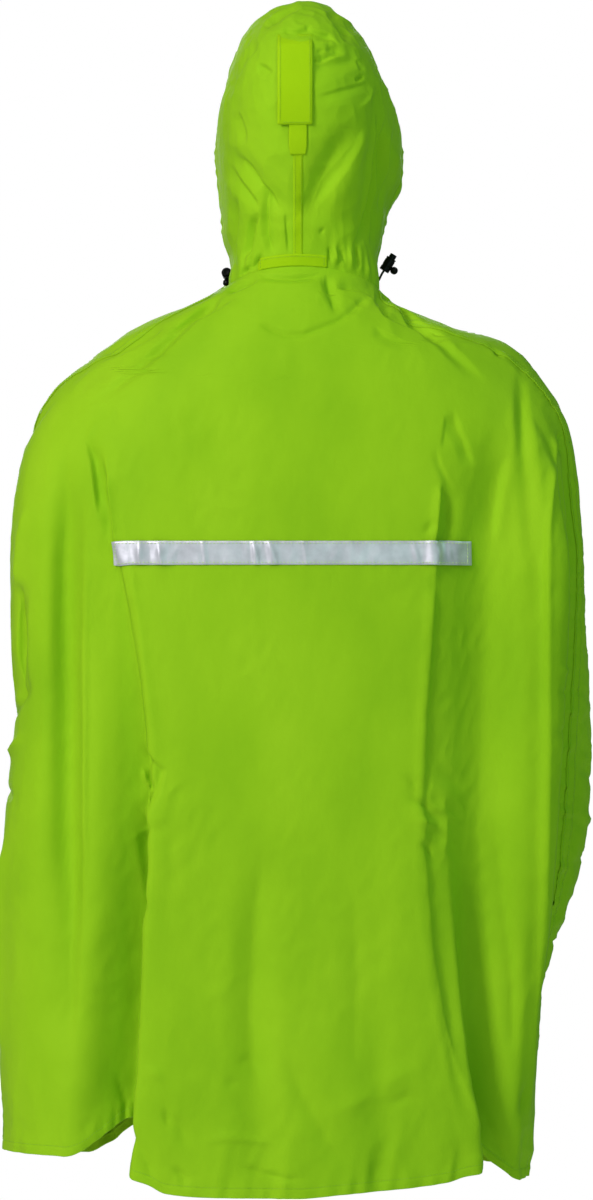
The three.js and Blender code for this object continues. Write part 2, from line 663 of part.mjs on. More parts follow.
function hood(rise, turn) {
  const point = smoothHood(rise, turn);
  const normal = surfaceNormal(smoothHood, Math.max(rise, 1), turn, -1, 0.4);
  let height = 0;
  if (point.y > -60) {
    for (const crease of HOOD_CREASES) {
      const { part, across } = distanceToSegment(point.x, point.z, crease);
      const ends = smooth((part + 0.12) / 0.3) * smooth((1.12 - part) / 0.3);
      height += crease.height * ends * Math.exp(-((across / crease.width) ** 2));
    }
    for (const group of HOOD_GATHERS) {
      const part = (point.x - group.from) / (group.to - group.from);
      if (part > 0 && part < 1 && point.y > 0) {
        const strength = smooth(rise / 12) * smooth((group.length - rise) / group.length);
        height += group.height * strength * Math.sin(Math.PI * part * group.count) ** 2;
      }
    }
  }
  return point.addScaledVector(normal, height);
}

function hoodHalf(side) {
  const steps = 120;
  const pointRows = [];
  const normalRows = [];
  const rises = [...HOOD_ROW_RISES].reverse();
  for (const rise of rises) {
    const end = archCurves.end(rise) * side;
    const turnAt = (i) => (end * i) / steps;
    const lengths = [0];
    for (let i = 1; i <= steps; i += 1) {
      const step = hood(rise, turnAt(i)).distanceTo(hood(rise, turnAt(i - 1)));
      lengths.push(lengths[i - 1] + step);
    }
    const total = lengths[steps];
    const tapeEdge = HOOD_TAPE_WIDTH / 2;
    const places = [SEAM_GAP / 2];
    const plain = HOOD_COLUMNS - 3;
    for (let column = 0; column <= plain; column += 1) {
      places.push(THREE.MathUtils.lerp(tapeEdge, total - TUNNEL_WIDTH, column / plain));
    }
    places.push(total - TUNNEL_WIDTH + TUNNEL_STEP, total);
    const turns = places.map((place) => {
      let i = 0;
      while (i < steps - 1 && lengths[i + 1] < place) i += 1;
      return turnAt(i + (place - lengths[i]) / (lengths[i + 1] - lengths[i]));
    });
    if (side < 0) turns.reverse();
    const safeRise = THREE.MathUtils.clamp(rise, 2, HOOD_TOP_RISE - 2);
    pointRows.push(turns.map((turn) => hood(rise, turn)));
    normalRows.push(turns.map((turn) => surfaceNormal(hood, safeRise, turn, -1.5, 0.4)));
  }
  const inTunnel = (row, column) => {
    const fromFace = side > 0 ? HOOD_COLUMNS + 1 - column : column;
    return fromFace < 2 || row === 0;
  };
  return panelFrom(pointRows, normalRows, (row, column) => (inTunnel(row, column) ? TUNNEL_RAISE : 0));
}

const hoodLeft = hoodHalf(1);
const hoodRight = hoodHalf(-1);
const hoodRowOf = (rise) => HOOD_ROW_RISES.length - 1 - HOOD_ROW_RISES.indexOf(rise);

// Pieces sewn on the panels

// Columns of several rows that start and end at places of their own and share what lies between
function sharedColumns(froms, tos) {
  const shared = [];
  const last = Math.floor(Math.min(...tos) - 0.1);
  for (let column = Math.ceil(Math.max(...froms) + 0.1); column <= last; column += 1) shared.push(column);
  return froms.map((from, i) => [from, ...shared, tos[i]]);
}

function reflectiveStrip() {
  const rows = [STRIP_TOP_DROP, STRIP_TOP_DROP + STRIP_HEIGHT].map((drop) => ROW_DROPS.indexOf(drop));
  const columns = sharedColumns(
    rows.map((row) => columnAtX(backPanel, row, STRIP_RIGHT)),
    rows.map((row) => columnAtX(backPanel, row, STRIP_LEFT)),
  );
  const grid = rows.map((row, i) => columns[i].map((column) => onRow(backPanel, row, column)));
  return sewnOn(grid, STRIP_LIFT, STRIP_THICKNESS);
}

// A felled seam lies across the edges of two panels, from one drop to the hem
const FELL_START_DROP = 168;
function felledSeam(before, after) {
  const rows = [];
  for (let row = ROW_DROPS.indexOf(FELL_START_DROP); row < ROW_DROPS.length - 1; row += 1) {
    const last = before.points[row].length - 1;
    rows.push([
      onRow(before, row, last - 1),
      onRow(before, row, last),
      onRow(after, row, 0),
      onRow(after, row, 1),
    ]);
  }
  return sewnOn(rows, FELL_LIFT, FELL_THICKNESS);
}

function placket() {
  const rows = ROW_DROPS.filter((drop) => drop <= PLACKET_END_DROP).map((_, row) => row);
  const places = [1, 0.5, 0, -0.5, -1].map((part) => (part * PLACKET_WIDTH) / 2);
  const grid = rows.map((row) => places.map((x) => onRow(frontPanel, row, columnAtX(frontPanel, row, x))));
  drawIn(grid, 0, 1, PLACKET_TOP_GAP);
  return sewnOn(grid, PLACKET_LIFT, PLACKET_THICKNESS);
}

// The tape over the middle seam of the hood, from the nape patch up to its end under the tab
function hoodTape() {
  const rows = [];
  for (let row = hoodRowOf(HOOD_TAPE_TOP_RISE); row <= hoodRowOf(NAPE_PATCH_HEIGHT); row += 1) {
    const last = hoodRight.points[row].length - 1;
    rows.push([
      onRow(hoodRight, row, last - 1),
      onRow(hoodRight, row, last),
      onRow(hoodLeft, row, 0),
      onRow(hoodLeft, row, 1),
    ]);
  }
  const end = rows.length - 1;
  drawIn(rows, end, end - 1, HOOD_TAPE_END_GAP);
  return sewnOn(rows, SEWN_LIFT, HOOD_TAPE_THICKNESS);
}

function napePatch() {
  const rows = [hoodRowOf(NAPE_PATCH_HEIGHT), hoodRowOf(0)];
  const last = hoodRight.points[0].length - 1;
  const right = sharedColumns(
    rows.map((row) => columnAtLength(hoodRight, row, NAPE_PATCH_RIGHT, true)),
    rows.map(() => last),
  );
  const left = sharedColumns(
    rows.map(() => 0),
    rows.map((row) => columnAtLength(hoodLeft, row, NAPE_PATCH_LEFT, false)),
  );
  const grid = rows.map((row, i) => [
    ...right[i].map((column) => onRow(hoodRight, row, column)),
    ...left[i].map((column) => onRow(hoodLeft, row, column)),
  ]);
  return sewnOn(grid, SEWN_LIFT, NAPE_PATCH_THICKNESS);
}

// A strap that is flat across and follows the hood's middle seam from its top rise to its end.
// shift moves it sideways from the seam.
function alongHoodSeam({ top, end, width, shift, lift, thickness, steps, endShare }) {
  const rows = [];
  for (let i = 0; i <= steps; i += 1) {
    const rise = THREE.MathUtils.lerp(top, end, i / steps);
    const point = smoothHood(rise, 0);
    const normal = surfaceNormal(smoothHood, rise, 0, -2, 0.4);
    const half = (width / 2) * (i === steps ? endShare : 1);
    const row = [];
    for (const side of [-1, -0.5, 0, 0.5, 1]) {
      const moved = point.clone();
      moved.x += shift + side * half;
      row.push({ point: moved, normal });
    }
    rows.push(row);
  }
  return sewnOn(rows, lift, thickness);
}

// The cord locks, beads and cord ends at the cheeks

// The mouth of the tunnel, just clear of the face edge, on the way to the cord's first point
const TUNNEL_MOUTH_RISE = 40;
function cordExit(sideName, towards) {
  const panel = sideName === 'left' ? hoodLeft : hoodRight;
  const row = hoodRowOf(TUNNEL_MOUTH_RISE);
  const column = sideName === 'left' ? panel.points[row].length - 1 : 0;
  const edge = panel.points[row][column].clone().addScaledVector(panel.normals[row][column], -WALL / 2);
  return edge.lerp(towards, (CORD_DIAMETER / 2 + CORD_GAP) / edge.distanceTo(towards));
}

// A barrel with a rounded lower end and a push button on its upper end, round +Z
function lockGeometry() {
  const radius = LOCK_DIAMETER / 2;
  const button = BUTTON_DIAMETER / 2;
  const half = LOCK_LENGTH / 2;
  const round = LOCK_ROUNDING;
  const profile = [
    [0, -half], [radius - round, -half], [radius - round * 0.3, -half + round * 0.3], [radius, -half + round],
    [radius, half - round], [radius - round * 0.3, half - round * 0.3], [radius - round, half],
    [button, half], [button, half + BUTTON_LENGTH - 1], [button - 1, half + BUTTON_LENGTH],
    [0, half + BUTTON_LENGTH],
  ].map(([x, y]) => new THREE.Vector2(x, y));
  const geometry = new THREE.LatheGeometry(profile, 16);
  geometry.rotateX(Math.PI / 2);
  return geometry;
}

function cordGeometry(points) {
  const section = new THREE.Shape();
  section.absarc(0, 0, CORD_DIAMETER / 2, 0, Math.PI * 2, false);
  const path = new THREE.CatmullRomCurve3(points, false, 'centripetal');
  const steps = Math.max(3, Math.round(path.getLength() / (CORD_DIAMETER * 1.4)));
  const options = { steps, curveSegments: 8, extrudePath: path, bevelEnabled: false };
  return new THREE.ExtrudeGeometry(section, options);
}

// Assembly

const poncho = new THREE.Group();
function add(name, geometry, material) {
  const mesh = new THREE.Mesh(geometry, material);
  mesh.name = name;
  poncho.add(mesh);
  return mesh;
}

add('back_panel', backPanel.geometry, cloth);
add('front_panel', frontPanel.geometry, cloth);
add('hood_left', hoodLeft.geometry, cloth);
add('hood_right', hoodRight.geometry, cloth);
add('hood_seam_tape', hoodTape(), tape);
add('nape_patch', napePatch(), tape);
add('reflective_strip', reflectiveStrip(), reflective);
add('side_seam_left', felledSeam(backPanel, frontPanel), cloth);
add('side_seam_right', felledSeam(frontPanel, backPanel), cloth);
add('front_placket', placket(), cloth);

const strapLift = SEWN_LIFT + HOOD_TAPE_THICKNESS + SEWN_LIFT;
add('hood_strap', alongHoodSeam({
  top: STRAP_END_RISE + STRAP_LENGTH,
  end: STRAP_END_RISE,
  width: STRAP_WIDTH,
  shift: 0,
  lift: strapLift,
  thickness: STRAP_THICKNESS,
  steps: 4,
  endShare: STRAP_END_SHARE,
}), tape);
add('hood_tab', alongHoodSeam({
  top: TAB_TOP_RISE,
  end: TAB_TOP_RISE - TAB_LENGTH,
  width: TAB_WIDTH,
  shift: TAB_SHIFT,
  lift: strapLift + STRAP_THICKNESS + SEWN_LIFT,
  thickness: TAB_THICKNESS,
  steps: 8,
  endShare: 1,
}), tape);

for (const [sideName, cord] of Object.entries(CORDS)) {
  const axis = new THREE.Vector3(...cord.axis).normalize();
  const lock = add(`cord_lock_${sideName}`, lockGeometry(), blackPlastic);
  lock.position.set(...cord.lock);
  lock.quaternion.setFromUnitVectors(new THREE.Vector3(0, 0, 1), axis);

  // The bead touches the barrel's side, so its way out is measured square to the barrel
  const side = new THREE.Vector3(...cord.beadSide);
  side.addScaledVector(axis, -side.dot(axis)).normalize();
  const bead = add(`cord_bead_${sideName}`, new THREE.SphereGeometry(BEAD_DIAMETER / 2, 12, 8), blackPlastic);
  bead.position.copy(lock.position);
  bead.position.addScaledVector(side, (LOCK_DIAMETER + BEAD_DIAMETER) / 2 + CORD_GAP);
  bead.position.addScaledVector(axis, BEAD_SHIFT);

  const lockEnd = (gap) => lock.position.clone().addScaledVector(axis, -LOCK_LENGTH / 2 - gap);
  const route = cord.route.map((place) => new THREE.Vector3(...place));
  const start = cordExit(sideName, route[0]);
  add(`cord_${sideName}`, cordGeometry([start, ...route, lockEnd(4), lockEnd(CORD_GAP)]), blackCord);
}

export default poncho;
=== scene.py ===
# The looks of the hooded rain poncho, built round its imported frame.
#
# Sizes in the tables are millimetres, and meshes are made in metres. +Z is up, the wearer faces -Y,
# and the wearer's left is +X. A place on the body is given by its drop, the length of cloth down
# the middle of the back from the neck seam, and its turn, the angle round the body: 0 is the
# middle of the back, 90 the wearer's left side, -90 the right side and 180 the middle of the front.

import math

import bpy
import numpy as np
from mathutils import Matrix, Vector


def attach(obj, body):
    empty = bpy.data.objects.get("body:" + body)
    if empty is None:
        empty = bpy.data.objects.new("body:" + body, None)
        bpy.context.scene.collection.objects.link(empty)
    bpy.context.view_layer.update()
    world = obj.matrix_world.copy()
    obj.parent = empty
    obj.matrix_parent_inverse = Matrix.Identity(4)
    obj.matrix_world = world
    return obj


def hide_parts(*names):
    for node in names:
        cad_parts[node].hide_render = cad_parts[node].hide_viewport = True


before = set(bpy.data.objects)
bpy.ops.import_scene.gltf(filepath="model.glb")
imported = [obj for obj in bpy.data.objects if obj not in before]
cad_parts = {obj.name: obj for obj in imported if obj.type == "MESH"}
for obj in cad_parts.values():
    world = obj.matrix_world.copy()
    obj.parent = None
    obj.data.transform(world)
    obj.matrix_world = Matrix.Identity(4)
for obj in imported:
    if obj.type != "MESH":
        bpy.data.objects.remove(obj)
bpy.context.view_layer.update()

MM = 0.001

# Camera, light and floor

CAMERA_Y = 9.14
CAMERA_X = 0.0017
CAMERA_Z = -0.3774
PHOTO_HEIGHT = 1.344
LIT_PLANE_Y = 0.14
SENSOR = 36.0


def make_camera():
    data = bpy.data.cameras.new("camera")
    data.sensor_fit = "AUTO"
    data.sensor_width = SENSOR
    data.lens = SENSOR * (CAMERA_Y - LIT_PLANE_Y) / PHOTO_HEIGHT
    data.clip_end = 60.0
    camera = bpy.data.objects.new("camera", data)
    camera.location = (CAMERA_X, CAMERA_Y, CAMERA_Z)
    camera.rotation_euler = (math.radians(90), 0, math.radians(180))
    bpy.context.scene.collection.objects.link(camera)
    bpy.context.scene.camera = camera
    bpy.context.scene.view_settings.view_transform = "Standard"


LIGHTS = [
    # name, place, aimed at, size (or the beam's angle in degrees), power, colour
    ("key", (3.45, 4.05, 2.0), (0.0, 0.1, -0.35), 1.2, 198, (1.0, 0.97, 0.96)),
    ("low_fill", (-1.4, 4.9, -0.6), (0.0, 0.0, -0.5), 2.4, 30, (0.50, 1.0, 0.8)),
    ("fill_right", (-3.9, 0.7, 2.4), (-0.1, 0.0, -0.5), 1.4, 34, (0.50, 1.0, 0.75)),
    ("top", (1.3, 2.0, 3.0), (0.0, 0.0, 0.0), 1.6, 38, (1.0, 1.0, 0.98)),
    ("hood_spot", (-1.3, 3.6, 1.5), (-0.04, 0.0, 0.2), 9.0, 96, (1.0, 0.97, 0.93)),
    ("front_fill", (0.3, -5.0, 0.5), (0.0, 0.0, -0.4), 3.0, 80, (1.0, 1.0, 1.0)),
]
SPOT_BLEND = 0.8
SPOT_RADIUS = 0.3


def make_lights():
    for name, place, aim, size, power, colour in LIGHTS:
        if name.endswith("spot"):
            data = bpy.data.lights.new(name, "SPOT")
            data.spot_size = math.radians(size)
            data.spot_blend = SPOT_BLEND
            data.shadow_soft_size = SPOT_RADIUS
        else:
            data = bpy.data.lights.new(name, "AREA")
            data.shape = "SQUARE"
            data.size = size
        data.energy = power
        data.color = colour
        light = bpy.data.objects.new(name, data)
        light.location = place
        light.rotation_euler = (Vector(aim) - Vector(place)).to_track_quat("-Z", "Y").to_euler()
        light.visible_camera = False
        bpy.context.scene.collection.objects.link(light)


WORLD_LIGHT = 0.17
WORLD_SEEN = 1.0


def make_world():
    world = bpy.data.worlds.new("studio")
    bpy.context.scene.world = world
    world.use_nodes = True
    tree = world.node_tree
    tree.nodes.clear()
    out = tree.nodes.new("ShaderNodeOutputWorld")
    lit = tree.nodes.new("ShaderNodeBackground")
    seen = tree.nodes.new("ShaderNodeBackground")
    mix = tree.nodes.new("ShaderNodeMixShader")
    path = tree.nodes.new("ShaderNodeLightPath")
    lit.inputs["Color"].default_value = (0.78, 0.96, 0.88, 1)
    lit.inputs["Strength"].default_value = WORLD_LIGHT
    seen.inputs["Color"].default_value = (1, 1, 1, 1)
    seen.inputs["Strength"].default_value = WORLD_SEEN
    tree.links.new(path.outputs["Is Camera Ray"], mix.inputs["Fac"])
    tree.links.new(lit.outputs[0], mix.inputs[1])
    tree.links.new(seen.outputs[0], mix.inputs[2])
    tree.links.new(mix.outputs[0], out.inputs["Surface"])


FLOOR_Z = -1.72
FLOOR_RADIUS = 4.5


def make_floor(material):
    turns = np.linspace(0, 2 * math.pi, 96, endpoint=False)
    verts = [(FLOOR_RADIUS * math.cos(t), FLOOR_RADIUS * math.sin(t), FLOOR_Z) for t in turns]
    mesh = bpy.data.meshes.new("floor")
    mesh.from_pydata(verts, [], [list(range(len(verts)))])
    mesh.materials.append(material)
    floor = bpy.data.objects.new("floor", mesh)
    bpy.context.scene.collection.objects.link(floor)


# Small helpers


def smooth(value):
    t = np.clip(value, 0.0, 1.0)
    return t * t * (3 - 2 * t)


def curve_through(xs, ys):
    """A smooth curve through a table's rows, which never overshoots between two of them."""
    xs = np.asarray(xs, float)
    ys = np.asarray(ys, float)
    secant = np.diff(ys) / np.diff(xs)
    slope = np.zeros(len(xs))
    slope[0] = secant[0]
    slope[-1] = secant[-1]
    for i in range(1, len(xs) - 1):
        if secant[i - 1] * secant[i] > 0:
            before = xs[i] - xs[i - 1]
            after = xs[i + 1] - xs[i]
            weight = (2 * after + before) / secant[i - 1] + (after + 2 * before) / secant[i]
            slope[i] = 3 * (before + after) / weight

    def at(x):
        x = np.clip(x, xs[0], xs[-1])
        i = np.clip(np.searchsorted(xs, x) - 1, 0, len(xs) - 2)
        span = xs[i + 1] - xs[i]
        t = (x - xs[i]) / span
        t2 = t * t
        t3 = t2 * t
        ends = ys[i] * (2 * t3 - 3 * t2 + 1) + ys[i + 1] * (3 * t2 - 2 * t3)
        return ends + span * (slope[i] * (t3 - 2 * t2 + t) + slope[i + 1] * (t3 - t2))

    return at


def curves_through(names, rows):
    columns = list(zip(*rows))
    return {name: curve_through(columns[0], columns[i]) for i, name in enumerate(names) if i}


def unit(vectors):
    length = np.linalg.norm(vectors, axis=-1, keepdims=True)
    return vectors / np.maximum(length, 1e-9)


def grid_normals(points):
    """Outward normals of a grid whose rows run down and whose columns run anticlockwise from above."""
    across = np.gradient(points, axis=1)
    down = np.gradient(points, axis=0)
    return unit(np.cross(across, down))


def walked_along(points):
    """The length from a line's start to each of its points."""
    return np.concatenate([[0], np.cumsum(np.linalg.norm(np.diff(points, axis=0), axis=1))])


def spaced(*stretches):
    """Places from one stretch to the next, each stretch with its own step."""
    places = [stretches[0][0]]
    for start, end, step in stretches:
        count = max(1, int(round(abs(end - start) / step)))
        places += list(np.linspace(start, end, count + 1)[1:])
    return np.array(places)


LATTICE = 32


def value_noise(u, v, w, seed):
    """Smooth noise from 0 to 1 over three coordinates, one lattice cell a unit."""
    table = np.random.RandomState(seed).rand(LATTICE, LATTICE, LATTICE)
    total = 0.0
    cells = [np.floor(c).astype(int) for c in (u, v, w)]
    parts = [smooth(c - cell) for c, cell in zip((u, v, w), cells)]
    for corner in range(8):
        index = []
        weight = 1.0
        for axis in range(3):
            high = (corner >> axis) & 1
            index.append((cells[axis] + high) % LATTICE)
            weight = weight * (parts[axis] if high else 1 - parts[axis])
        total = total + weight * table[index[0], index[1], index[2]]
    return total


def ridges(u, v, w, seed):
    """Noise with sharp crests, from 0 to 1."""
    return 1 - np.abs(2 * value_noise(u, v, w, seed) - 1)


CREASE_GAIN = 2.2
STEP_GAIN = 1.7


def along_line(points, u, v):
    """How far each place is from a line, on which side of it, and how far along the line. The right
    hand side of the line's way, seen from behind the wearer, is positive."""
    points = np.asarray(points, float)
    steps = np.diff(points, axis=0)
    lengths = np.hypot(steps[:, 0], steps[:, 1])
    starts = np.concatenate([[0], np.cumsum(lengths)])
    best = np.full(u.shape, 1e9)
    place = np.zeros(u.shape)
    side = np.ones(u.shape)
    for (x, y), (dx, dy), length, start in zip(points, steps, lengths, starts):
        part = np.clip(((u - x) * dx + (v - y) * dy) / (length * length), 0, 1)
        far = np.hypot(u - x - part * dx, v - y - part * dy)
        closer = far < best
        best = np.where(closer, far, best)
        place = np.where(closer, start + part * length, place)
        side = np.where(closer, np.sign(dx * (v - y) - dy * (u - x)), side)
    return best, side, place, starts[-1]


def near_line(points, reach, u, v):
    points = np.asarray(points, float)
    low = points.min(0) - reach
    high = points.max(0) + reach
    return (u > low[0]) & (u < high[0]) & (v > low[1]) & (v < high[1])


def line_field(u, v, lines):
    """Adds up the heights of listed creases. Each has a name, points, width and height."""
    total = np.zeros(np.shape(u))
    for _name, points, width, height in lines:
        near = near_line(points, 3.2 * width, u, v)
        if not near.any():
            continue
        best, _side, place, whole = along_line(points, u[near], v[near])
        fade = min(0.45 * whole, 3.5 * width)
        ends = smooth(place / fade) * smooth((whole - place) / fade)
        crest = 0.55 * np.exp(-((best / width) ** 2)) + 0.45 * np.exp(-2.2 * best / width)
        total[near] += CREASE_GAIN * height * (0.12 + 0.88 * ends) * crest
    return total


def step_field(u, v, steps):
    """Adds up folded edges: past the line, on its side, the cloth drops by the height, and it comes back
    over the reach. Each has a name, points, side, sharp, reach and height."""
    total = np.zeros(np.shape(u))
    for _name, points, side, sharp, reach, height in steps:
        near = near_line(points, reach, u, v)
        if not near.any():
            continue
        best, hand, place, whole = along_line(points, u[near], v[near])
        past = best * hand * side
        fade = 0.3 * whole
        ends = smooth(place / fade) * smooth((whole - place) / fade)
        drop = smooth(past / sharp) * smooth((reach - past) / (reach - sharp))
        total[near] -= STEP_GAIN * height * ends * np.where(past > 0, drop, 0)
    return total


# The body's form

HEM_DROP = 1064
HEM_DEPTH = 11
HEM_STEP = 0.5
FELL_WIDTH = 9
FELL_LIFT = 0.35

SECTION_NAMES = ("drop", "z_left", "z_right", "z_back", "z_front", "left", "right", "back", "front", "square")
SECTIONS = [
    (0, -22, -26, 0, -62, 78, 92, 60, 74, 2.0),
    (40, -39, -38, -32, -98, 111, 106, 86, 102, 2.1),
    (89, -66, -64, -75, -140, 180, 166, 109, 122, 2.2),
    (134, -95, -86, -118, -180, 224, 236, 122, 134, 2.3),
    (182, -134, -130, -165, -220, 272, 280, 131, 142, 2.4),
    (229, -180, -180, -212, -255, 300, 307, 137, 147, 2.5),
    (277, -240, -240, -260, -288, 318, 317, 141, 151, 2.5),
    (329, -312, -312, -312, -318, 326, 321, 143, 154, 2.5),
    (437, -420, -420, -420, -420, 327, 313, 145, 159, 2.5),
    (520, -503, -503, -503, -503, 321, 304, 146, 164, 2.5),
    (618, -601, -601, -601, -601, 330, 293, 147, 168, 2.5),
    (730, -713, -713, -713, -713, 338, 281, 148, 170, 2.5),
    (830, -813, -813, -813, -813, 339, 272, 149, 168, 2.5),
    (954, -937, -937, -937, -937, 338, 268, 150, 166, 2.5),
    (HEM_DROP, -1047, -1047, -1047, -1047, 332, 258, 151, 164, 2.5),
]
section = curves_through(SECTION_NAMES, SECTIONS)

SEAM_NAMES = ("drop", "left", "right")
SEAMS = [
    (0, 76, 78), (89, 66, 66), (182, 84, 74), (277, 96, 77.5), (350, 97, 81), (520, 98, 83), (710, 98, 87),
    (830, 98, 91), (HEM_DROP, 98, 95),
]
seam_turn = curves_through(SEAM_NAMES, SEAMS)

# How much higher than the table's sections the hem is: turn and lift
HEM_LIFTS = [
    (-180, 22), (-110, 24), (-80, 18), (-64, 14), (-52, 15), (-44, 26), (-38, 18), (-10, 4), (0, 0), (17, 1),
    (25, 5), (31, 25), (40, 37), (50, 45), (90, 47), (120, 38), (180, 22),
]
hem_lift = curve_through(*zip(*HEM_LIFTS))
HEM_LIFT_START = 760
HEM_LIFT_POWER = 1.5

FOLD_NAMES = ("name", "face", "top", "middle", "bottom", "centre", "side", "height", "start", "end",
              "fade_in", "fade_out", "lift")
FOLD_ROWS = [
    ("left arm valley", "back", 232, 171, 192, 20, 78, -52, 190, 1200, 700, 1, 58),
    ("left panel edge", "back", 205, 146, 166, 60, 14, 6, 240, 1200, 300, 1, 0),
    ("right arm valley", "back", -222, -210, -226, 74, 48, -21, 180, 1060, 160, 420, 0),
    ("right hem valley", "back", -190, -200, -213, 30, 60, -46, 600, 1200, 440, 1, 42),
    ("right panel edge", "back", -152, -131, -186, 60, 12, 6, 260, 1200, 300, 1, 0),
    ("left sleeve dip", "back", 262, 266, 270, 32, 30, -7, 240, 830, 160, 200, 0),
    ("left elbow crease", "left", 62, 52, 58, 12, 18, -8, 365, 520, 50, 60, 0),
    ("right shoulder dip", "back", -250, -258, -266, 16, 14, -6, 150, 400, 60, 90, 0),
    ("right back corner", "right", 84, 76, 50, 16, 54, 24, 180, 1060, 200, 420, 0),
    ("right seam valley", "right", 50, 38, 4, 30, 24, -14, 190, 900, 120, 120, 0),
    ("right forearm", "right", -20, -34, -34, 95, 88, 42, 300, 880, 330, 220, 0),
    ("left shoulder seam dip", "back", 84, 150, 232, 14, 12, -5, 30, 190, 30, 50, 0),
    ("right shoulder seam dip", "back", -94, -152, -214, 16, 12, -5, 26, 170, 30, 50, 0),
    ("back left hem dip", "back", 44, 48, 40, 34, 40, -6, 660, 1200, 240, 1, 0),
    ("back right hem dip", "back", -84, -88, -92, 34, 30, -5, 720, 1200, 240, 1, 0),
    ("nape crease", "back", -30, -35, -46, 9, 12, -3, 8, 75, 18, 26, 0),
    ("front left valley", "front", 214, 176, 186, 18, 60, -44, 230, 1200, 360, 1, 40),
    ("front right valley", "front", -196, -162, -168, 18, 58, -42, 250, 1200, 360, 1, 38),
    ("front left dip", "front", 84, 72, 86, 40, 36, -9, 320, 1200, 260, 1, 0),
    ("front right dip", "front", -76, -92, -80, 36, 40, -10, 360, 1200, 240, 1, 0),
    ("front left sleeve ridge", "front", 256, 262, 268, 34, 34, 9, 300, 1200, 200, 1, 0),
]
FOLDS = [dict(zip(FOLD_NAMES, row)) for row in FOLD_ROWS]

GATHER_NAMES = ("face", "start", "end", "count", "length", "height")
HEM_GATHERS = [dict(zip(GATHER_NAMES, row)) for row in [
    ("back", 186, 240, 5, 44, 3.2),
    ("back", -158, -20, 6, 30, 1.8),
    ("back", -252, -220, 3, 30, 2.4),
    ("front", 150, 196, 4, 36, 2.6),
    ("front", -180, -140, 4, 36, 2.6),
    ("front", -60, 60, 5, 28, 1.8),
]]


def rounded_square(turn, square):
    across = np.sin(np.radians(turn))
    along = np.cos(np.radians(turn))
    reach = (np.abs(across) ** square + np.abs(along) ** square) ** (-1 / square)
    return across * reach, along * reach


HEIGHT_POWER = 1.2


def smooth_body(drop, turn):
    """The body before its folds, at any drops and turns that fit together."""
    at = {name: curve(drop) for name, curve in section.items()}
    across, along = rounded_square(turn, at["square"])
    x = across * np.where(across > 0, at["left"], at["right"])
    y = along * np.where(along > 0, at["back"], at["front"])
    z_side = at["z_right"] + (at["z_left"] - at["z_right"]) * (across + 1) / 2
    z_end = np.where(along > 0, at["z_back"], at["z_front"])
    z = z_side + (z_end - z_side) * np.abs(along) ** HEIGHT_POWER
    return np.stack([x, y, z], axis=-1)


RING = np.linspace(-180, 180, 361)


class Rows:
    """Level rows of the body, with the length of cloth round each one. Length 0 is at a turn of -180."""

    def __init__(self, drops):
        self.drops = np.asarray(drops, float)
        ring = smooth_body(self.drops[:, None], RING[None, :])
        steps = np.linalg.norm(np.diff(ring, axis=1), axis=2)
        self.lengths = np.concatenate([np.zeros((len(self.drops), 1)), np.cumsum(steps, axis=1)], axis=1)
        self.total = self.lengths[:, -1]

    def length_at(self, turns):
        place = (turns + 180.0) / 360.0 * (len(RING) - 1)
        i = np.clip(np.floor(place).astype(int), 0, len(RING) - 2)
        low = np.take_along_axis(self.lengths, i, axis=1)
        high = np.take_along_axis(self.lengths, i + 1, axis=1)
        return low + (place - i) * (high - low)

    def turn_at(self, lengths):
        turns = np.empty_like(lengths)
        for r, total in enumerate(self.total):
            around = np.floor(lengths[r] / total)
            rest = lengths[r] - around * total
            turns[r] = np.interp(rest, self.lengths[r], RING) + 360 * around
        return turns


def turn_on_face(drop, face, place):
    square = section["square"](drop)
    ends = ("left", "right") if face in ("back", "front") else ("back", "front")
    reach = np.where(place > 0, section[ends[0]](drop), section[ends[1]](drop))
    share = np.minimum(np.abs(place) / reach, 0.995)
    other = np.maximum(1 - share**square, 0) ** (1 / square)
    if face in ("back", "front"):
        turn = np.degrees(np.arctan2(share, other))
        return np.sign(place) * (turn if face == "back" else 180 - turn)
    turn = np.degrees(np.arctan2(other, np.sign(place) * share))
    return turn if face == "left" else -turn


def fold_line(fold, drop):
    end = min(fold["end"], HEM_DROP)
    middle = (fold["start"] + end) / 2
    place = curve_through([fold["start"], middle, end], [fold["top"], fold["middle"], fold["bottom"]])
    return turn_on_face(drop, fold["face"], place(drop))


def side_direction(fold):
    if fold["face"] == "back":
        return 1 if fold["top"] > 0 else -1
    if fold["face"] == "front":
        return -1 if fold["top"] > 0 else 1
    return 1 if fold["face"] == "right" else -1


def around(distance, total):
    return distance - np.round(distance / total) * total


def wrap(turns):
    return np.where(turns > 180, turns - 360, turns)


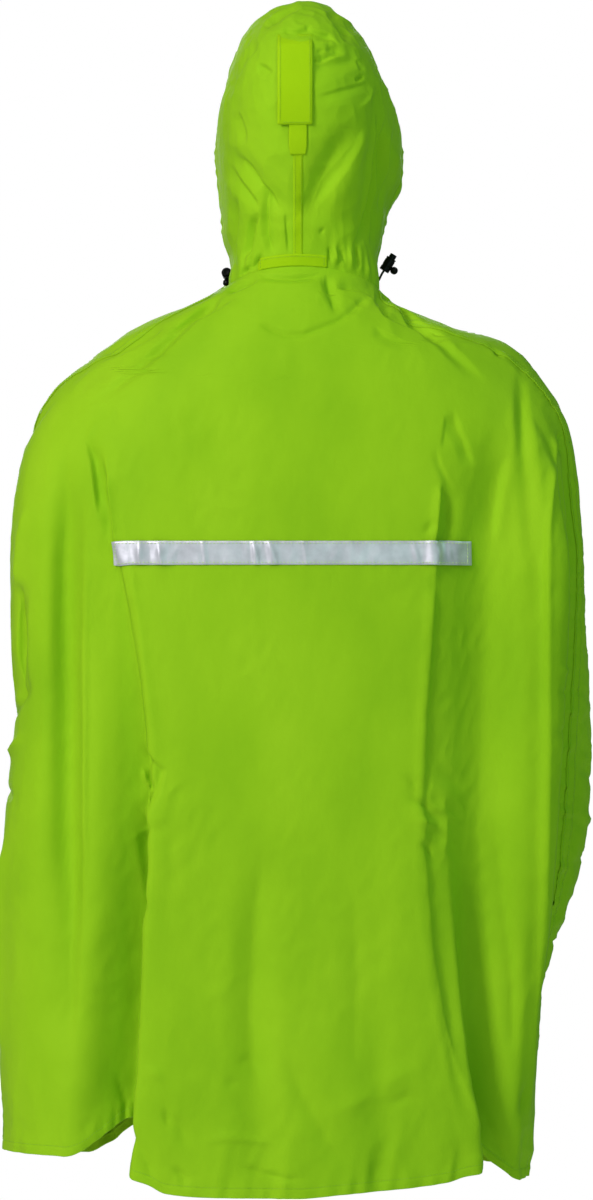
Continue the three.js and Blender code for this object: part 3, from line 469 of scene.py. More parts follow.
def folded_body(rows, turns):
    """Points of the body with its folds, gathers and lifted hem, as the solids have them."""
    drop = rows.drops[:, None]
    turns = wrap(turns)
    lengths = rows.length_at(turns)
    total = rows.total[:, None]
    height = np.zeros(turns.shape)
    lift = hem_lift(turns)
    for fold in FOLDS:
        begun = smooth((drop - fold["start"]) / fold["fade_in"])
        strength = begun * smooth((fold["end"] - drop) / fold["fade_out"])
        line = rows.length_at(fold_line(fold, drop))
        toward_side = around(lengths - line, total) * side_direction(fold)
        part = np.abs(toward_side) / np.where(toward_side > 0, fold["side"], fold["centre"])
        share = strength * (1 + np.cos(np.pi * np.clip(part, 0, 1))) / 2
        height += fold["height"] * share
        lift = lift + fold["lift"] * share
    for group in HEM_GATHERS:
        strength = smooth((drop - (HEM_DROP - group["length"])) / group["length"])
        ends = [rows.length_at(turn_on_face(drop, group["face"], group[end])) for end in ("start", "end")]
        low, high = np.minimum(*ends), np.maximum(*ends)
        part = (lengths - low) / (high - low)
        waves = np.sin(np.pi * part * group["count"]) ** 2
        height += np.where((part > 0) & (part < 1), group["height"] * strength * waves, 0)
    across = smooth_body(drop, turns + 0.2) - smooth_body(drop, turns - 0.2)
    down = smooth_body(drop + 1, turns) - smooth_body(drop - 1, turns)
    points = smooth_body(drop, turns) + unit(np.cross(across, down)) * height[..., None]
    rise = smooth((drop - HEM_LIFT_START) / (HEM_DROP - HEM_LIFT_START)) ** HEM_LIFT_POWER
    points[..., 2] += lift * rise
    return points


LEAN = 13
LEAN_WIDTH = 7
LEAN_START = 345
LEAN_FADE = 110
LEAN_DEPTH = -40


def lean(rows, turns, points):
    """Moves the edges of the deep valleys sideways, so that the panel's edge hides the steep wall."""
    drop = rows.drops[:, None]
    lengths = rows.length_at(wrap(turns))
    for fold in FOLDS:
        if fold["height"] > LEAN_DEPTH:
            continue
        strength = smooth((drop - LEAN_START) / LEAN_FADE) * smooth((drop - fold["start"]) / fold["fade_in"])
        line = rows.length_at(fold_line(fold, drop))
        toward_side = around(lengths - line, rows.total[:, None]) * side_direction(fold)
        near = np.exp(-(((toward_side + fold["centre"] * 0.9) / LEAN_WIDTH) ** 2))
        outward = 1 if fold["top"] > 0 else -1
        points[..., 0] += outward * LEAN * strength * near
    return points


# Creases of the back, seen from behind: name, points in X and Z, width and height
BACK_CREASES = [
    ("nape arc", [(43, -65), (29, -74), (13, -80), (-6, -80), (-20, -74), (-44, -64), (-58, -55),
                  (-68, -44), (-78, -36)], 3.5, -1.5),
    ("neck left crease", [(80, -30), (65, -22), (52, -16)], 3, -1.8),
    ("shoulder nick right", [(-151, -71), (-164, -80)], 3, -2.2),
    ("shoulder nick far right", [(-220, -93), (-231, -104)], 3, -2.2),
    ("right shoulder inner", [(-96, -48), (-105, -52), (-116, -55)], 3, 0.8),
    ("seam nick", [(-297, -185), (-291, -206)], 3, -2.4),
    ("seam nick low", [(-298, -200), (-292, -214)], 3, -2.2),
    ("left crumple loop", [(175, -567), (170, -581), (162, -591), (165, -608), (168, -622)], 2.6, 2.2),
    ("left crumple loop shade", [(169, -566), (165, -579), (158, -590), (159, -608)], 3, -1.5),
    ("left panel edge", [(213, -232), (206, -301), (194, -333), (179, -411), (166, -489), (155, -590),
                         (151, -669), (158, -747), (166, -825), (174, -893), (179, -954)], 6, 2.4),
    ("left crumple d", [(177, -615), (164, -631), (151, -637)], 5, -1.8),
    ("left arm trough", [(262, -209), (267, -333), (265, -489), (264, -646), (260, -781),
                         (256, -900)], 22, -5.0),
    ("left arm light", [(237, -288), (240, -422), (244, -579), (240, -713)], 26, 2.2),
    ("left sliver", [(318, -355), (312, -422), (316, -495)], 5, -3.0),
    ("left sliver top", [(307, -271), (316, -310), (320, -366)], 6, 2.0),
    ("right valley edge", [(-159, -243), (-153, -333), (-148, -411), (-142, -489), (-137, -601), (-141, -680),
                           (-148, -769), (-161, -848), (-176, -915), (-186, -965), (-193, -1021)], 6, 2.4),
    ("right valley notch", [(-170, -265), (-170, -310)], 6, -1.4),
    ("right crumple a", [(-123, -595), (-136, -605), (-150, -614)], 5, -2.6),
    ("right crumple b", [(-130, -622), (-143, -627), (-159, -631)], 5, 2.4),
    ("right crumple c", [(-134, -644), (-143, -655), (-151, -669)], 5, -2.4),
    ("right crumple d", [(-119, -570), (-130, -581), (-137, -601)], 5, -1.8),
    ("right inner line", [(-151, -339), (-150, -360), (-149, -380)], 5, -1.6),
    ("right wedge", [(-240, -212), (-238, -240), (-230, -280), (-224, -320)], 6, 1.0),
    ("right back corner", [(-291, -187), (-286, -242), (-282, -292), (-281, -333), (-278, -444), (-276, -545),
                           (-273, -651), (-271, -763), (-264, -909), (-258, -1016)], 5, 2.0),
    ("right arm fold low", [(-223, -635), (-230, -713), (-240, -803), (-243, -893)], 9, -2.2),
    ("over strip crease", [(-138, -304), (-148, -295), (-157, -288)], 4, -1.6),
    ("low back trough", [(40, -646), (49, -747), (54, -837), (45, -937)], 20, -3.0),
    ("low back trough right", [(-60, -691), (-67, -803), (-60, -926)], 22, -2.2),
    ("hem arc", [(65, -1010), (36, -1020), (13, -1025), (-4, -1025)], 4, -1.2),
    ("side wrinkle a", [(-290, -452), (-301, -459), (-313, -455)], 4, 1.4),
    ("side wrinkle b", [(-289, -478), (-303, -483)], 4, -1.3),
    ("side wrinkle c", [(-296, -497), (-306, -505), (-316, -500)], 4, 1.6),
    ("side wrinkle d", [(-288, -520), (-301, -529)], 4.5, -1.3),
    ("side wrinkle e", [(-290, -541), (-302, -547), (-314, -540)], 4, 1.6),
    ("side wrinkle f", [(-288, -562), (-300, -571), (-309, -568)], 4, -1.5),
    ("side wrinkle g", [(-291, -586), (-306, -592)], 4.5, 1.4),
    ("side wrinkle h", [(-287, -610), (-299, -618), (-312, -614)], 5, 1.7),
    ("side wrinkle i", [(-288, -640), (-301, -646)], 5, -1.4),
    ("side wrinkle j", [(-286, -672), (-300, -683), (-309, -680)], 6, 1.5),
    ("side wrinkle k", [(-283, -716), (-299, -724)], 6, 1.4),
    ("side wrinkle l", [(-280, -760), (-294, -768), (-303, -765)], 6, -1.5),
    ("side wrinkle m", [(-278, -796), (-292, -806)], 6, 1.6),
    ("side wrinkle n", [(-275, -832), (-287, -840)], 6, 1.5),
    ("hem arc upper", [(101, -984), (82, -979), (62, -980), (48, -983), (30, -986)], 5, 1.3),
    ("low crumple a", [(72, -898), (55, -892), (41, -905)], 5, -1.3),
    ("low crumple b", [(68, -912), (82, -925)], 5, -1.1),
    ("low diagonal", [(15, -885), (-11, -945), (-38, -991), (-58, -1011)], 13, -1.9),
    ("low rise", [(-28, -959), (-92, -925), (-144, -892)], 14, 1.7),
    ("low crumple c", [(-78, -932), (-104, -918)], 6, -1.2),
    ("low crumple d", [(-99, -944), (-121, -934), (-136, -938)], 6, -1.2),
    ("left edge crumple a", [(171, -892), (175, -932)], 5, -1.3),
    ("left edge crumple b", [(164, -898), (151, -918)], 5, 1.3),
    ("left edge crumple c", [(154, -952), (134, -965), (121, -998)], 8, -1.5),
    ("left arm low crumple", [(206, -905), (196, -937), (186, -955)], 8, -1.6),
    ("right edge crumple a", [(-186, -962), (-200, -980), (-212, -1004)], 5, 1.6),
    ("right edge crumple b", [(-206, -948), (-222, -986), (-236, -1013)], 7, -1.6),
    ("hem left corner crease", [(150, -945), (148, -955), (144, -968)], 4, -1.8),
    ("hem left corner fold", [(141, -1009), (128, -1023), (129, -1039)], 5, -2.2),
    ("hem left turned", [(178, -960), (169, -993), (162, -1034)], 7, -2.4),
    ("hem right crease", [(-259, -920), (-256, -940), (-251, -963)], 5, -2.0),
]

# Folded edges of the back: past the line, on its side, the cloth drops. Name, points in X and Z,
# side, sharp, reach and height.
BACK_STEPS = [
    ("under the patch", [(48, -4), (38, -8), (9, -10), (-16, -8), (-28, -5)], 1, 3, 12, 2.6),
    ("nape fold", [(-28, -6), (-29, -21), (-32, -36), (-38, -57)], -1, 5, 19, 2.0),
    ("neck right edge", [(-39, -28), (-59, -29), (-76, -32), (-85, -39), (-88, -52)], -1, 4, 18, 2.6),
    ("neck left edge", [(81, -34), (69, -29), (56, -24), (40, -16)], -1, 3.5, 14, 2.8),
    ("right shoulder plane", [(-85, -17), (-88, -36), (-92, -50), (-97, -59), (-109, -64), (-123, -69),
                              (-137, -76), (-147, -87), (-160, -95)], -1, 5, 24, 4.6),
    ("right shoulder low line", [(-86, -67), (-100, -76), (-116, -83), (-129, -92)], 1, 4, 16, 1.8),
    ("left shoulder plane", [(146, -83), (118, -66), (87, -49), (69, -38)], -1, 4, 17, 3.4),
    ("left shoulder plane two", [(224, -111), (190, -96), (165, -83), (148, -72)], -1, 4, 17, 3.4),
    ("left shoulder soft", [(202, -129), (177, -111), (141, -104)], -1, 6, 26, 1.8),
    ("right arm trough", [(-247, -152), (-247, -181), (-250, -210), (-257, -250),
                          (-266, -300)], -1, 14, 44, -0.9),
    ("right wedge left edge", [(-241, -209), (-236, -224), (-232, -243), (-227, -279),
                               (-223, -319)], 1, 6, 40, 2.2),
    ("blade upright", [(-164, -167), (-161, -189), (-158, -209)], -1, 5, 24, 1.1),
    ("blade ridge", [(-157, -206), (-162, -223), (-170, -240), (-181, -255)], 1, 3.5, 12, 1.1),
    ("valley start", [(-160, -243), (-159, -265), (-155, -299), (-148, -328)], -1, 4, 30, 3.6),
    ("blade upper", [(-177, -160), (-184, -181), (-192, -199), (-202, -228)], 1, 6, 20, 2.4),
    ("left arm inner a", [(243, -192), (239, -206), (235, -221), (231, -254), (226, -288)], -1, 4, 20, 4.2),
    ("left arm inner b", [(220, -212), (215, -232), (212, -256), (207, -283), (203, -316)], 1, 4, 18, 3.6),
    ("left valley fold", [(162, -532), (157, -548), (146, -568), (148, -584), (150, -615)], 1, 4, 18, 3.4),
    ("left valley fold low", [(167, -620), (165, -644), (160, -675), (155, -707),
                              (151, -737)], 1, 4, 20, 4.4),
    ("right back corner", [(-276, -230), (-276, -333), (-274, -545), (-268, -763),
                           (-261, -930)], -1, 7, 46, -4.4),
    ("left arm edge", [(276, -190), (281, -333), (280, -489), (279, -646), (272, -840)], -1, 16, 60, 6),
    ("left arm inner edge", [(243, -260), (246, -422), (247, -579), (246, -760)], -1, 12, 46, 4),
    ("left sliver", [(310, -352), (308, -430), (311, -500)], 1, 5, 22, 4),
]

# Creases of the front, seen from in front, in X and Z. The photo hides them, so they are like the back's.
FRONT_CREASES = [
    ("chest left", [(168, -190), (150, -226), (141, -270)], 7, -2.6),
    ("chest right", [(-150, -178), (-139, -222), (-131, -262)], 7, 2.4),
    ("left valley edge", [(196, -250), (180, -380), (163, -520), (158, -640), (166, -800),
                          (172, -960)], 6, 2.4),
    ("right valley edge", [(-180, -260), (-166, -400), (-150, -560), (-149, -700), (-156, -860),
                           (-158, -980)], 6, 2.4),
    ("left crumple a", [(186, -590), (168, -606), (150, -612)], 5, -2.6),
    ("left crumple b", [(178, -622), (160, -630), (140, -630)], 5, 2.2),
    ("right crumple a", [(-176, -560), (-160, -578), (-140, -588)], 5, -2.6),
    ("right crumple b", [(-172, -606), (-150, -614), (-131, -610)], 5, 2.2),
    ("elbow right a", [(-300, -560), (-270, -590), (-236, -600)], 7, -3.0),
    ("elbow right b", [(-306, -640), (-272, -640), (-240, -626)], 7, 2.6),
    ("elbow right c", [(-292, -700), (-262, -680), (-238, -654)], 6, -2.4),
    ("elbow left a", [(318, -520), (286, -548), (250, -556)], 7, -2.6),
    ("elbow left b", [(322, -600), (290, -600), (254, -586)], 7, 2.2),
    ("middle long", [(20, -420), (12, -560), (24, -720), (16, -900)], 18, -2.6),
    ("middle short", [(-40, -700), (-46, -800), (-36, -900)], 14, 2.0),
    ("neck left", [(38, -90), (60, -120), (98, -150)], 7, -2.4),
    ("neck right", [(-42, -92), (-70, -124), (-104, -146)], 7, -2.2),
    ("hem left", [(90, -960), (84, -1000), (92, -1030)], 6, -2.0),
    ("hem right", [(-110, -950), (-104, -1000), (-112, -1030)], 6, -2.0),
]

# Creases of the two sides, in Y and Z
LEFT_CREASES = [
    ("elbow a", [(70, -470), (30, -500), (-24, -512)], 7, -3.2),
    ("elbow b", [(60, -530), (16, -548), (-40, -548)], 8, 2.8),
    ("elbow c", [(50, -600), (6, -596), (-50, -578)], 7, -2.8),
    ("arm long", [(-30, -240), (-40, -420), (-36, -620), (-30, -860)], 16, -4.0),
    ("arm short", [(36, -640), (28, -760), (34, -900)], 12, 3.0),
    ("shoulder", [(40, -150), (0, -190), (-50, -200)], 9, -2.4),
    ("low", [(-70, -760), (-66, -880), (-74, -1000)], 12, -3.0),
]
RIGHT_CREASES = [
    ("elbow a", [(10, -560), (-30, -582), (-84, -590)], 7, -3.2),
    ("elbow b", [(14, -610), (-24, -628), (-90, -628)], 8, 3.0),
    ("elbow c", [(10, -676), (-30, -670), (-80, -650)], 7, -2.8),
    ("arm long", [(-60, -230), (-74, -360), (-80, -480)], 14, -3.6),
    ("forearm", [(-70, -700), (-64, -780), (-56, -860)], 10, -2.8),
    ("shoulder", [(30, -140), (-10, -178), (-60, -190)], 9, -2.4),
    ("low", [(-50, -880), (-46, -960), (-54, -1020)], 12, -2.6),
]


def body_detail(points, normals, drop, seam_distance, pucker_place):
    """The height of the creases, crumples and puckers on the folded body."""
    x, y, z = points[..., 0], points[..., 1], points[..., 2]
    faces_back = smooth((normals[..., 1] + 0.25) / 0.3)
    faces_front = smooth((-normals[..., 1] + 0.1) / 0.3)
    faces_left = smooth((normals[..., 0] - 0.45) / 0.3)
    faces_right = smooth((-normals[..., 0] - 0.45) / 0.3) * (1 - 0.6 * faces_back)
    height = faces_back * (y > -60) * line_field(x, z, BACK_CREASES)
    height += faces_back * (y > 10) * step_field(x, z, BACK_STEPS)
    height += faces_front * (y < 20) * line_field(x, z, FRONT_CREASES)
    height += faces_left * (x > 0) * line_field(y, z, LEFT_CREASES)
    height += faces_right * (x < 0) * line_field(y, z, RIGHT_CREASES)

    # Broad unevenness, and crumples with crests, both longer than they are wide
    height += 1.6 * (value_noise(x / 70, y / 70, z / 190, 11) - 0.5) * smooth(drop / 120)
    low = smooth((drop - 620) / 300)
    shoulders = smooth((200 - drop) / 120)
    crumpled = 0.25 + 0.5 * low + 0.9 * shoulders + 0.5 * smooth((np.abs(x) - 190) / 80)
    height += 1.7 * crumpled * (ridges(x / 30, y / 34, z / 60, 12) - 0.55) * smooth(drop / 40)
    patchy = smooth((value_noise(x / 55, y / 55, z / 90, 19) - 0.42) / 0.3)
    small = ridges((x + 0.4 * z) / 15, y / 18, (z - 0.3 * x) / 26, 13) - 0.55
    height += (0.35 + 0.9 * patchy) * small * smooth(drop / 30)
    for side in (-1, 1):
        valley = np.exp(-(((x - side * 158) / 26) ** 2)) * np.exp(-(((z + 612) / 60) ** 2)) * (y > 0)
        height += 5.0 * valley * (ridges(x / 22, y / 60, (z + 0.5 * side * x) / 17, 26) - 0.5)

    # Puckers that the sewing draws up beside the felled seams, and the small folds by the seam
    near_seam = np.exp(-((seam_distance / 13) ** 2)) * smooth((drop - 60) / 60)
    near_seam = near_seam * (0.35 + 0.65 * smooth(-x / 60))
    height += 1.7 * near_seam * (ridges(pucker_place / 8, seam_distance / 40, 0 * drop, 14) - 0.5)
    on_right = smooth((-x - 180) / 60) * smooth((drop - 240) / 160) * smooth((930 - drop) / 120)
    beside = (0.3 + 0.7 * on_right) * np.exp(-((seam_distance / 30) ** 2)) * smooth((drop - 120) / 80)
    fan = pucker_place + 0.7 * seam_distance
    height += 1.4 * beside * (ridges(fan / 15, seam_distance / 34, 0 * drop, 15) - 0.5)
    off_seam = smooth((np.abs(seam_distance) - 4) / 9) * np.exp(-((seam_distance / 44) ** 2))
    height += 5.0 * on_right * off_seam * (ridges((y + 0.5 * z) / 26, x / 26, (z - 0.5 * y) / 9, 18) - 0.5)
    return height


def hem_detail(lengths, drop):
    """Small gathers that the elastic draws up all along the hem."""
    near = smooth((drop - (HEM_DROP - 46)) / 40)
    strength = 0.5 + 1.6 * value_noise(lengths / 60, 0 * lengths, 0 * lengths, 16) ** 2
    small = ridges(lengths / 8, drop / 90, 0 * lengths, 17) - 0.5
    long = ridges(lengths / 24, drop / 130, 0 * lengths, 27) - 0.5
    reach = smooth((drop - (HEM_DROP - 120)) / 110)
    return 3.0 * near * strength * small + 4.2 * reach * strength * long


def seam_lengths(rows):
    """Lengths of the two side seams, right one first."""
    right = rows.length_at(-seam_turn["right"](rows.drops)[:, None])
    left = rows.length_at(seam_turn["left"](rows.drops)[:, None])
    return right, left


def dressed_body(rows, turns):
    """Points and normals of the finished cloth at these rows and turns."""
    points = folded_body(rows, turns)
    normals = grid_normals(points)
    drop = rows.drops[:, None] + 0 * turns
    lengths = rows.length_at(wrap(turns))
    right, left = seam_lengths(rows)
    total = rows.total[:, None]
    to_right = np.abs(around(lengths - right, total))
    to_left = np.abs(around(lengths - left, total))
    height = body_detail(points, normals, drop, np.minimum(to_right, to_left), drop)
    height += hem_detail(lengths, drop)
    dressed = lean(rows, turns, points + normals * height[..., None])
    return dressed, grid_normals(dressed)


# Meshes from grids


def add_piece(name, data, material, replaces=()):
    data.materials.append(material)
    piece = bpy.data.objects.new(name, data)
    bpy.context.scene.collection.objects.link(piece)
    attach(piece, "root")
    if replaces:
        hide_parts(*replaces)
    return piece


class Cloth:
    """Collects grids of points in millimetres and makes one mesh of them."""

    def __init__(self):
        self.points = []
        self.faces = []
        self.uvs = []
        self.count = 0

    def grid(self, points, u=None, v=None, flip=False):
        rows, columns = points.shape[:2]
        index = self.count + np.arange(rows * columns).reshape(rows, columns)
        a, b = index[:-1, :-1], index[:-1, 1:]
        c, d = index[1:, 1:], index[1:, :-1]
        order = (a, b, c, d) if flip else (a, d, c, b)
        self.faces.append(np.stack(order, axis=-1).reshape(-1, 4))
        self.points.append(points.reshape(-1, 3))
        if u is None:
            u = np.linspace(0, columns, columns)[None, :] + np.zeros((rows, 1))
            v = np.linspace(0, rows, rows)[:, None] + np.zeros((1, columns))
        self.uvs.append(np.stack([u, v], axis=-1).reshape(-1, 2) * MM)
        self.count += rows * columns

    def build(self, name, material, slot, replaces=()):
        points = np.concatenate(self.points) * MM
        faces = np.concatenate(self.faces)
        uvs = np.concatenate(self.uvs)
        mesh = bpy.data.meshes.new(name)
        mesh.vertices.add(len(points))
        mesh.vertices.foreach_set("co", points.astype(np.float32).ravel())
        mesh.loops.add(faces.size)
        mesh.loops.foreach_set("vertex_index", faces.ravel().astype(np.int32))
        mesh.polygons.add(len(faces))
        mesh.polygons.foreach_set("loop_start", np.arange(0, faces.size, 4, dtype=np.int32))
        mesh.polygons.foreach_set("use_smooth", np.ones(len(faces), bool))
        layer = mesh.uv_layers.new(name="cloth")
        layer.data.foreach_set("uv", uvs[faces.ravel()].astype(np.float32).ravel())
        mesh.update(calc_edges=True)
        mesh.validate()
        return add_piece(name, mesh, material, replaces)


def ribbon(cloth, points, normals, lift, thickness, edge=0.4):
    """A thin closed strip on a surface: its raised face, with sides that go down to the surface."""
    top = points + normals * (lift + thickness)
    low = points + normals * lift
    across = unit(top[:, -1:] - top[:, :1])
    left = low[:, :1] - across * edge
    right = low[:, -1:] + across * edge
    wide = np.concatenate([left, top, right], axis=1)
    down = unit(wide[-1:] - wide[-2:-1])
    up = unit(wide[:1] - wide[1:2])
    drop = np.concatenate([normals[:, :1], normals, normals[:, -1:]], axis=1)
    first = wide[:1] + up * edge - drop[:1] * thickness
    last = wide[-1:] + down * edge - drop[-1:] * thickness
    cloth.grid(np.concatenate([first, wide, last], axis=0))


STITCH_TURNS = np.radians([45, 135, 225, 315])


class Stitches:
    """Rows of stitches along lines on the cloth, as one joined mesh."""

    def __init__(self):
        self.cloth_points = []
        self.faces = []
        self.count = 0

    def along(self, points, normals, spacing=3.4, length=2.3, width=0.55, lift=0.15):
        place = walked_along(points)
        total = place[-1]
        centres = np.arange(spacing / 2, total - spacing / 2, spacing)
        if len(centres) == 0:
            return

        def at(where, table):
            return np.stack([np.interp(where, place, table[:, i]) for i in range(3)], axis=-1)

        start = at(centres - length / 2, points)
        end = at(centres + length / 2, points)
        normal = unit(at(centres, normals))
        direction = unit(end - start)
        side = unit(np.cross(direction, normal))
        rings = []
        for share, size in ((0.0, 0.35), (0.22, 1.0), (0.78, 1.0), (1.0, 0.35)):
            middle = start + (end - start) * share + normal * lift
            for turn in STITCH_TURNS:
                offset = side * math.cos(turn) + normal * math.sin(turn)
                rings.append(middle + offset * (size * width / 2))
        verts = np.stack(rings, axis=1)
        faces = []
        for ring in range(3):
            for i in range(4):
                j = (i + 1) % 4
                faces.append([ring * 4 + i, ring * 4 + j, ring * 4 + 4 + j, ring * 4 + 4 + i])
        faces.append([3, 2, 1, 0])
        faces.append([12, 13, 14, 15])
        faces = np.array(faces)[None] + (np.arange(len(centres)) * 16)[:, None, None] + self.count
        self.cloth_points.append(verts.reshape(-1, 3))
        self.faces.append(faces.reshape(-1, 4))
        self.count += len(centres) * 16

    def build(self, name, material, slot):
        points = np.concatenate(self.cloth_points) * MM
        faces = np.concatenate(self.faces)
        mesh = bpy.data.meshes.new(name)
        mesh.from_pydata(points.tolist(), [], faces.tolist())
        mesh.polygons.foreach_set("use_smooth", np.ones(len(faces), bool))
        return add_piece(name, mesh, material)


# Materials


def principled(name):
    material = bpy.data.materials.new(name)
    material.use_nodes = True
    tree = material.node_tree
    shader = tree.nodes["Principled BSDF"]
    return material, tree, shader


def noise_node(tree, source, scale, detail, roughness=0.5):
    node = tree.nodes.new("ShaderNodeTexNoise")
    node.inputs["Scale"].default_value = scale
    node.inputs["Detail"].default_value = detail
    node.inputs["Roughness"].default_value = roughness
    tree.links.new(source, node.inputs["Vector"])
    return node


def stretched(tree, source, scale):
    node = tree.nodes.new("ShaderNodeMapping")
    node.inputs["Scale"].default_value = scale
    tree.links.new(source, node.inputs["Vector"])
    return node.outputs["Vector"]


def ramp_node(tree, source, stops):
    node = tree.nodes.new("ShaderNodeValToRGB")
    ramp = node.color_ramp
    while len(ramp.elements) < len(stops):
        ramp.elements.new(0.5)
    for element, (place, colour) in zip(ramp.elements, stops):
        element.position = place
        element.color = (*colour, 1)
    tree.links.new(source, node.inputs["Fac"])
    return node


def bump_node(tree, height, strength, distance, before=None):
    node = tree.nodes.new("ShaderNodeBump")
    node.inputs["Strength"].default_value = strength
    node.inputs["Distance"].default_value = distance
    tree.links.new(height, node.inputs["Height"])
    if before is not None:
        tree.links.new(before, node.inputs["Normal"])
    return node.outputs["Normal"]


def range_node(tree, source, low, high):
    node = tree.nodes.new("ShaderNodeMapRange")
    node.inputs["To Min"].default_value = low
    node.inputs["To Max"].default_value = high
    tree.links.new(source, node.inputs["Value"])
    return node.outputs["Result"]


def coated_nylon(name, dark, middle, light, roughness=(0.46, 0.6)):
    """Thin coated nylon: a fine plain weave under a satin coating, with small wrinkles."""
    material, tree, shader = principled(name)
    coords = tree.nodes.new("ShaderNodeTexCoord")
    where = coords.outputs["Object"]
    blotches = noise_node(tree, stretched(tree, where, (1, 1, 0.6)), 9, 4)
    colour = ramp_node(tree, blotches.outputs["Fac"], [(0.3, dark), (0.52, middle), (0.72, light)])
    tree.links.new(colour.outputs["Color"], shader.inputs["Base Color"])
    grain = noise_node(tree, where, 220, 3)
    tree.links.new(range_node(tree, grain.outputs["Fac"], *roughness), shader.inputs["Roughness"])

    height = None
    for direction in ("X", "Y"):
        wave = tree.nodes.new("ShaderNodeTexWave")
        wave.bands_direction = direction
        wave.inputs["Scale"].default_value = 620
        wave.inputs["Distortion"].default_value = 0.4
        tree.links.new(coords.outputs["UV"], wave.inputs["Vector"])
        if height is None:
            height = wave.outputs["Fac"]
        else:
            add = tree.nodes.new("ShaderNodeMath")
            add.operation = "ADD"
            tree.links.new(height, add.inputs[0])
            tree.links.new(wave.outputs["Fac"], add.inputs[1])
            height = add.outputs[0]
    weave = bump_node(tree, height, 0.22, 0.00006)
    wrinkles = noise_node(tree, stretched(tree, where, (1, 1, 0.55)), 46, 5, 0.55)
    creased = bump_node(tree, wrinkles.outputs["Fac"], 0.5, 0.0016, weave)
    fine = noise_node(tree, where, 170, 3)
    tree.links.new(bump_node(tree, fine.outputs["Fac"], 0.35, 0.0004, creased), shader.inputs["Normal"])
    shader.inputs["Specular IOR Level"].default_value = 0.2
    shader.inputs["IOR"].default_value = 1.28
    shader.inputs["Specular Tint"].default_value = (0.62, 1.0, 0.2, 1)
    return material


def reflective_tape(name):
    """Silver tape of glass beads on cloth: a fine grain and soft wrinkles."""
    material, tree, shader = principled(name)
    coords = tree.nodes.new("ShaderNodeTexCoord")
    where = coords.outputs["Object"]
    blotches = noise_node(tree, where, 60, 4)
    colour = ramp_node(tree, blotches.outputs["Fac"],
                       [(0.3, (0.50, 0.49, 0.56)), (0.55, (0.60, 0.59, 0.67)), (0.75, (0.68, 0.67, 0.75))])
    tree.links.new(colour.outputs["Color"], shader.inputs["Base Color"])
    beads = noise_node(tree, where, 2600, 2)
    tree.links.new(range_node(tree, beads.outputs["Fac"], 0.38, 0.58), shader.inputs["Roughness"])
    grain = bump_node(tree, beads.outputs["Fac"], 0.25, 0.00008)
    wrinkles = noise_node(tree, where, 90, 4)
    tree.links.new(bump_node(tree, wrinkles.outputs["Fac"], 0.4, 0.0008, grain), shader.inputs["Normal"])
    shader.inputs["Metallic"].default_value = 0.4
    shader.inputs["Specular IOR Level"].default_value = 0.5
    return material


def moulded_plastic(name):
    material, tree, shader = principled(name)
    coords = tree.nodes.new("ShaderNodeTexCoord")
    grain = noise_node(tree, coords.outputs["Object"], 900, 3)
    colour = ramp_node(tree, grain.outputs["Fac"],
                       [(0.3, (0.002, 0.002, 0.0025)), (0.7, (0.005, 0.005, 0.006))])
    tree.links.new(colour.outputs["Color"], shader.inputs["Base Color"])
    tree.links.new(range_node(tree, grain.outputs["Fac"], 0.26, 0.4), shader.inputs["Roughness"])
    tree.links.new(bump_node(tree, grain.outputs["Fac"], 0.2, 0.0001), shader.inputs["Normal"])
    shader.inputs["Specular IOR Level"].default_value = 0.1
    return material


def braided_cord(name):
    material, tree, shader = principled(name)
    coords = tree.nodes.new("ShaderNodeTexCoord")
    wave = tree.nodes.new("ShaderNodeTexWave")
    wave.bands_direction = "DIAGONAL"
    wave.inputs["Scale"].default_value = 420
    wave.inputs["Distortion"].default_value = 1.5
    tree.links.new(coords.outputs["Object"], wave.inputs["Vector"])
    colour = ramp_node(tree, wave.outputs["Fac"],
                       [(0.2, (0.004, 0.004, 0.004)), (0.8, (0.014, 0.014, 0.014))])
    tree.links.new(colour.outputs["Color"], shader.inputs["Base Color"])
    tree.links.new(range_node(tree, wave.outputs["Fac"], 0.6, 0.8), shader.inputs["Roughness"])
    tree.links.new(bump_node(tree, wave.outputs["Fac"], 0.6, 0.0003), shader.inputs["Normal"])
    return material


def sewing_thread(name, dark, light):
    material, tree, shader = principled(name)
    coords = tree.nodes.new("ShaderNodeTexCoord")
    twist = noise_node(tree, coords.outputs["Object"], 1500, 2)
    colour = ramp_node(tree, twist.outputs["Fac"], [(0.3, dark), (0.7, light)])
    tree.links.new(colour.outputs["Color"], shader.inputs["Base Color"])
    tree.links.new(bump_node(tree, twist.outputs["Fac"], 0.4, 0.0001), shader.inputs["Normal"])
    shader.inputs["Roughness"].default_value = 0.5
    return material


def floor_paint(name):
    material, tree, shader = principled(name)
    coords = tree.nodes.new("ShaderNodeTexCoord")
    grain = noise_node(tree, coords.outputs["Object"], 3, 3)
    colour = ramp_node(tree, grain.outputs["Fac"], [(0.3, (0.80, 0.80, 0.79)), (0.7, (0.83, 0.83, 0.82))])
    tree.links.new(colour.outputs["Color"], shader.inputs["Base Color"])
    shader.inputs["Roughness"].default_value = 0.8
    return material


CLOTH = coated_nylon("cloth", (0.246, 0.482, 0.0110), (0.284, 0.530, 0.0125), (0.314, 0.562, 0.0150))
TAPE = coated_nylon("tape", (0.302, 0.530, 0.0050), (0.328, 0.552, 0.0055), (0.354, 0.575, 0.0065),
                    (0.4, 0.52))
STRIP = reflective_tape("reflective")
PLASTIC = moulded_plastic("black_plastic")
CORD = braided_cord("cord")
THREAD = sewing_thread("thread", (0.20, 0.42, 0.012), (0.30, 0.55, 0.02))
PALE_THREAD = sewing_thread("pale_thread", (0.50, 0.70, 0.22), (0.66, 0.82, 0.36))

make_camera()
make_lights()
make_world()
make_floor(floor_paint("floor_paint"))

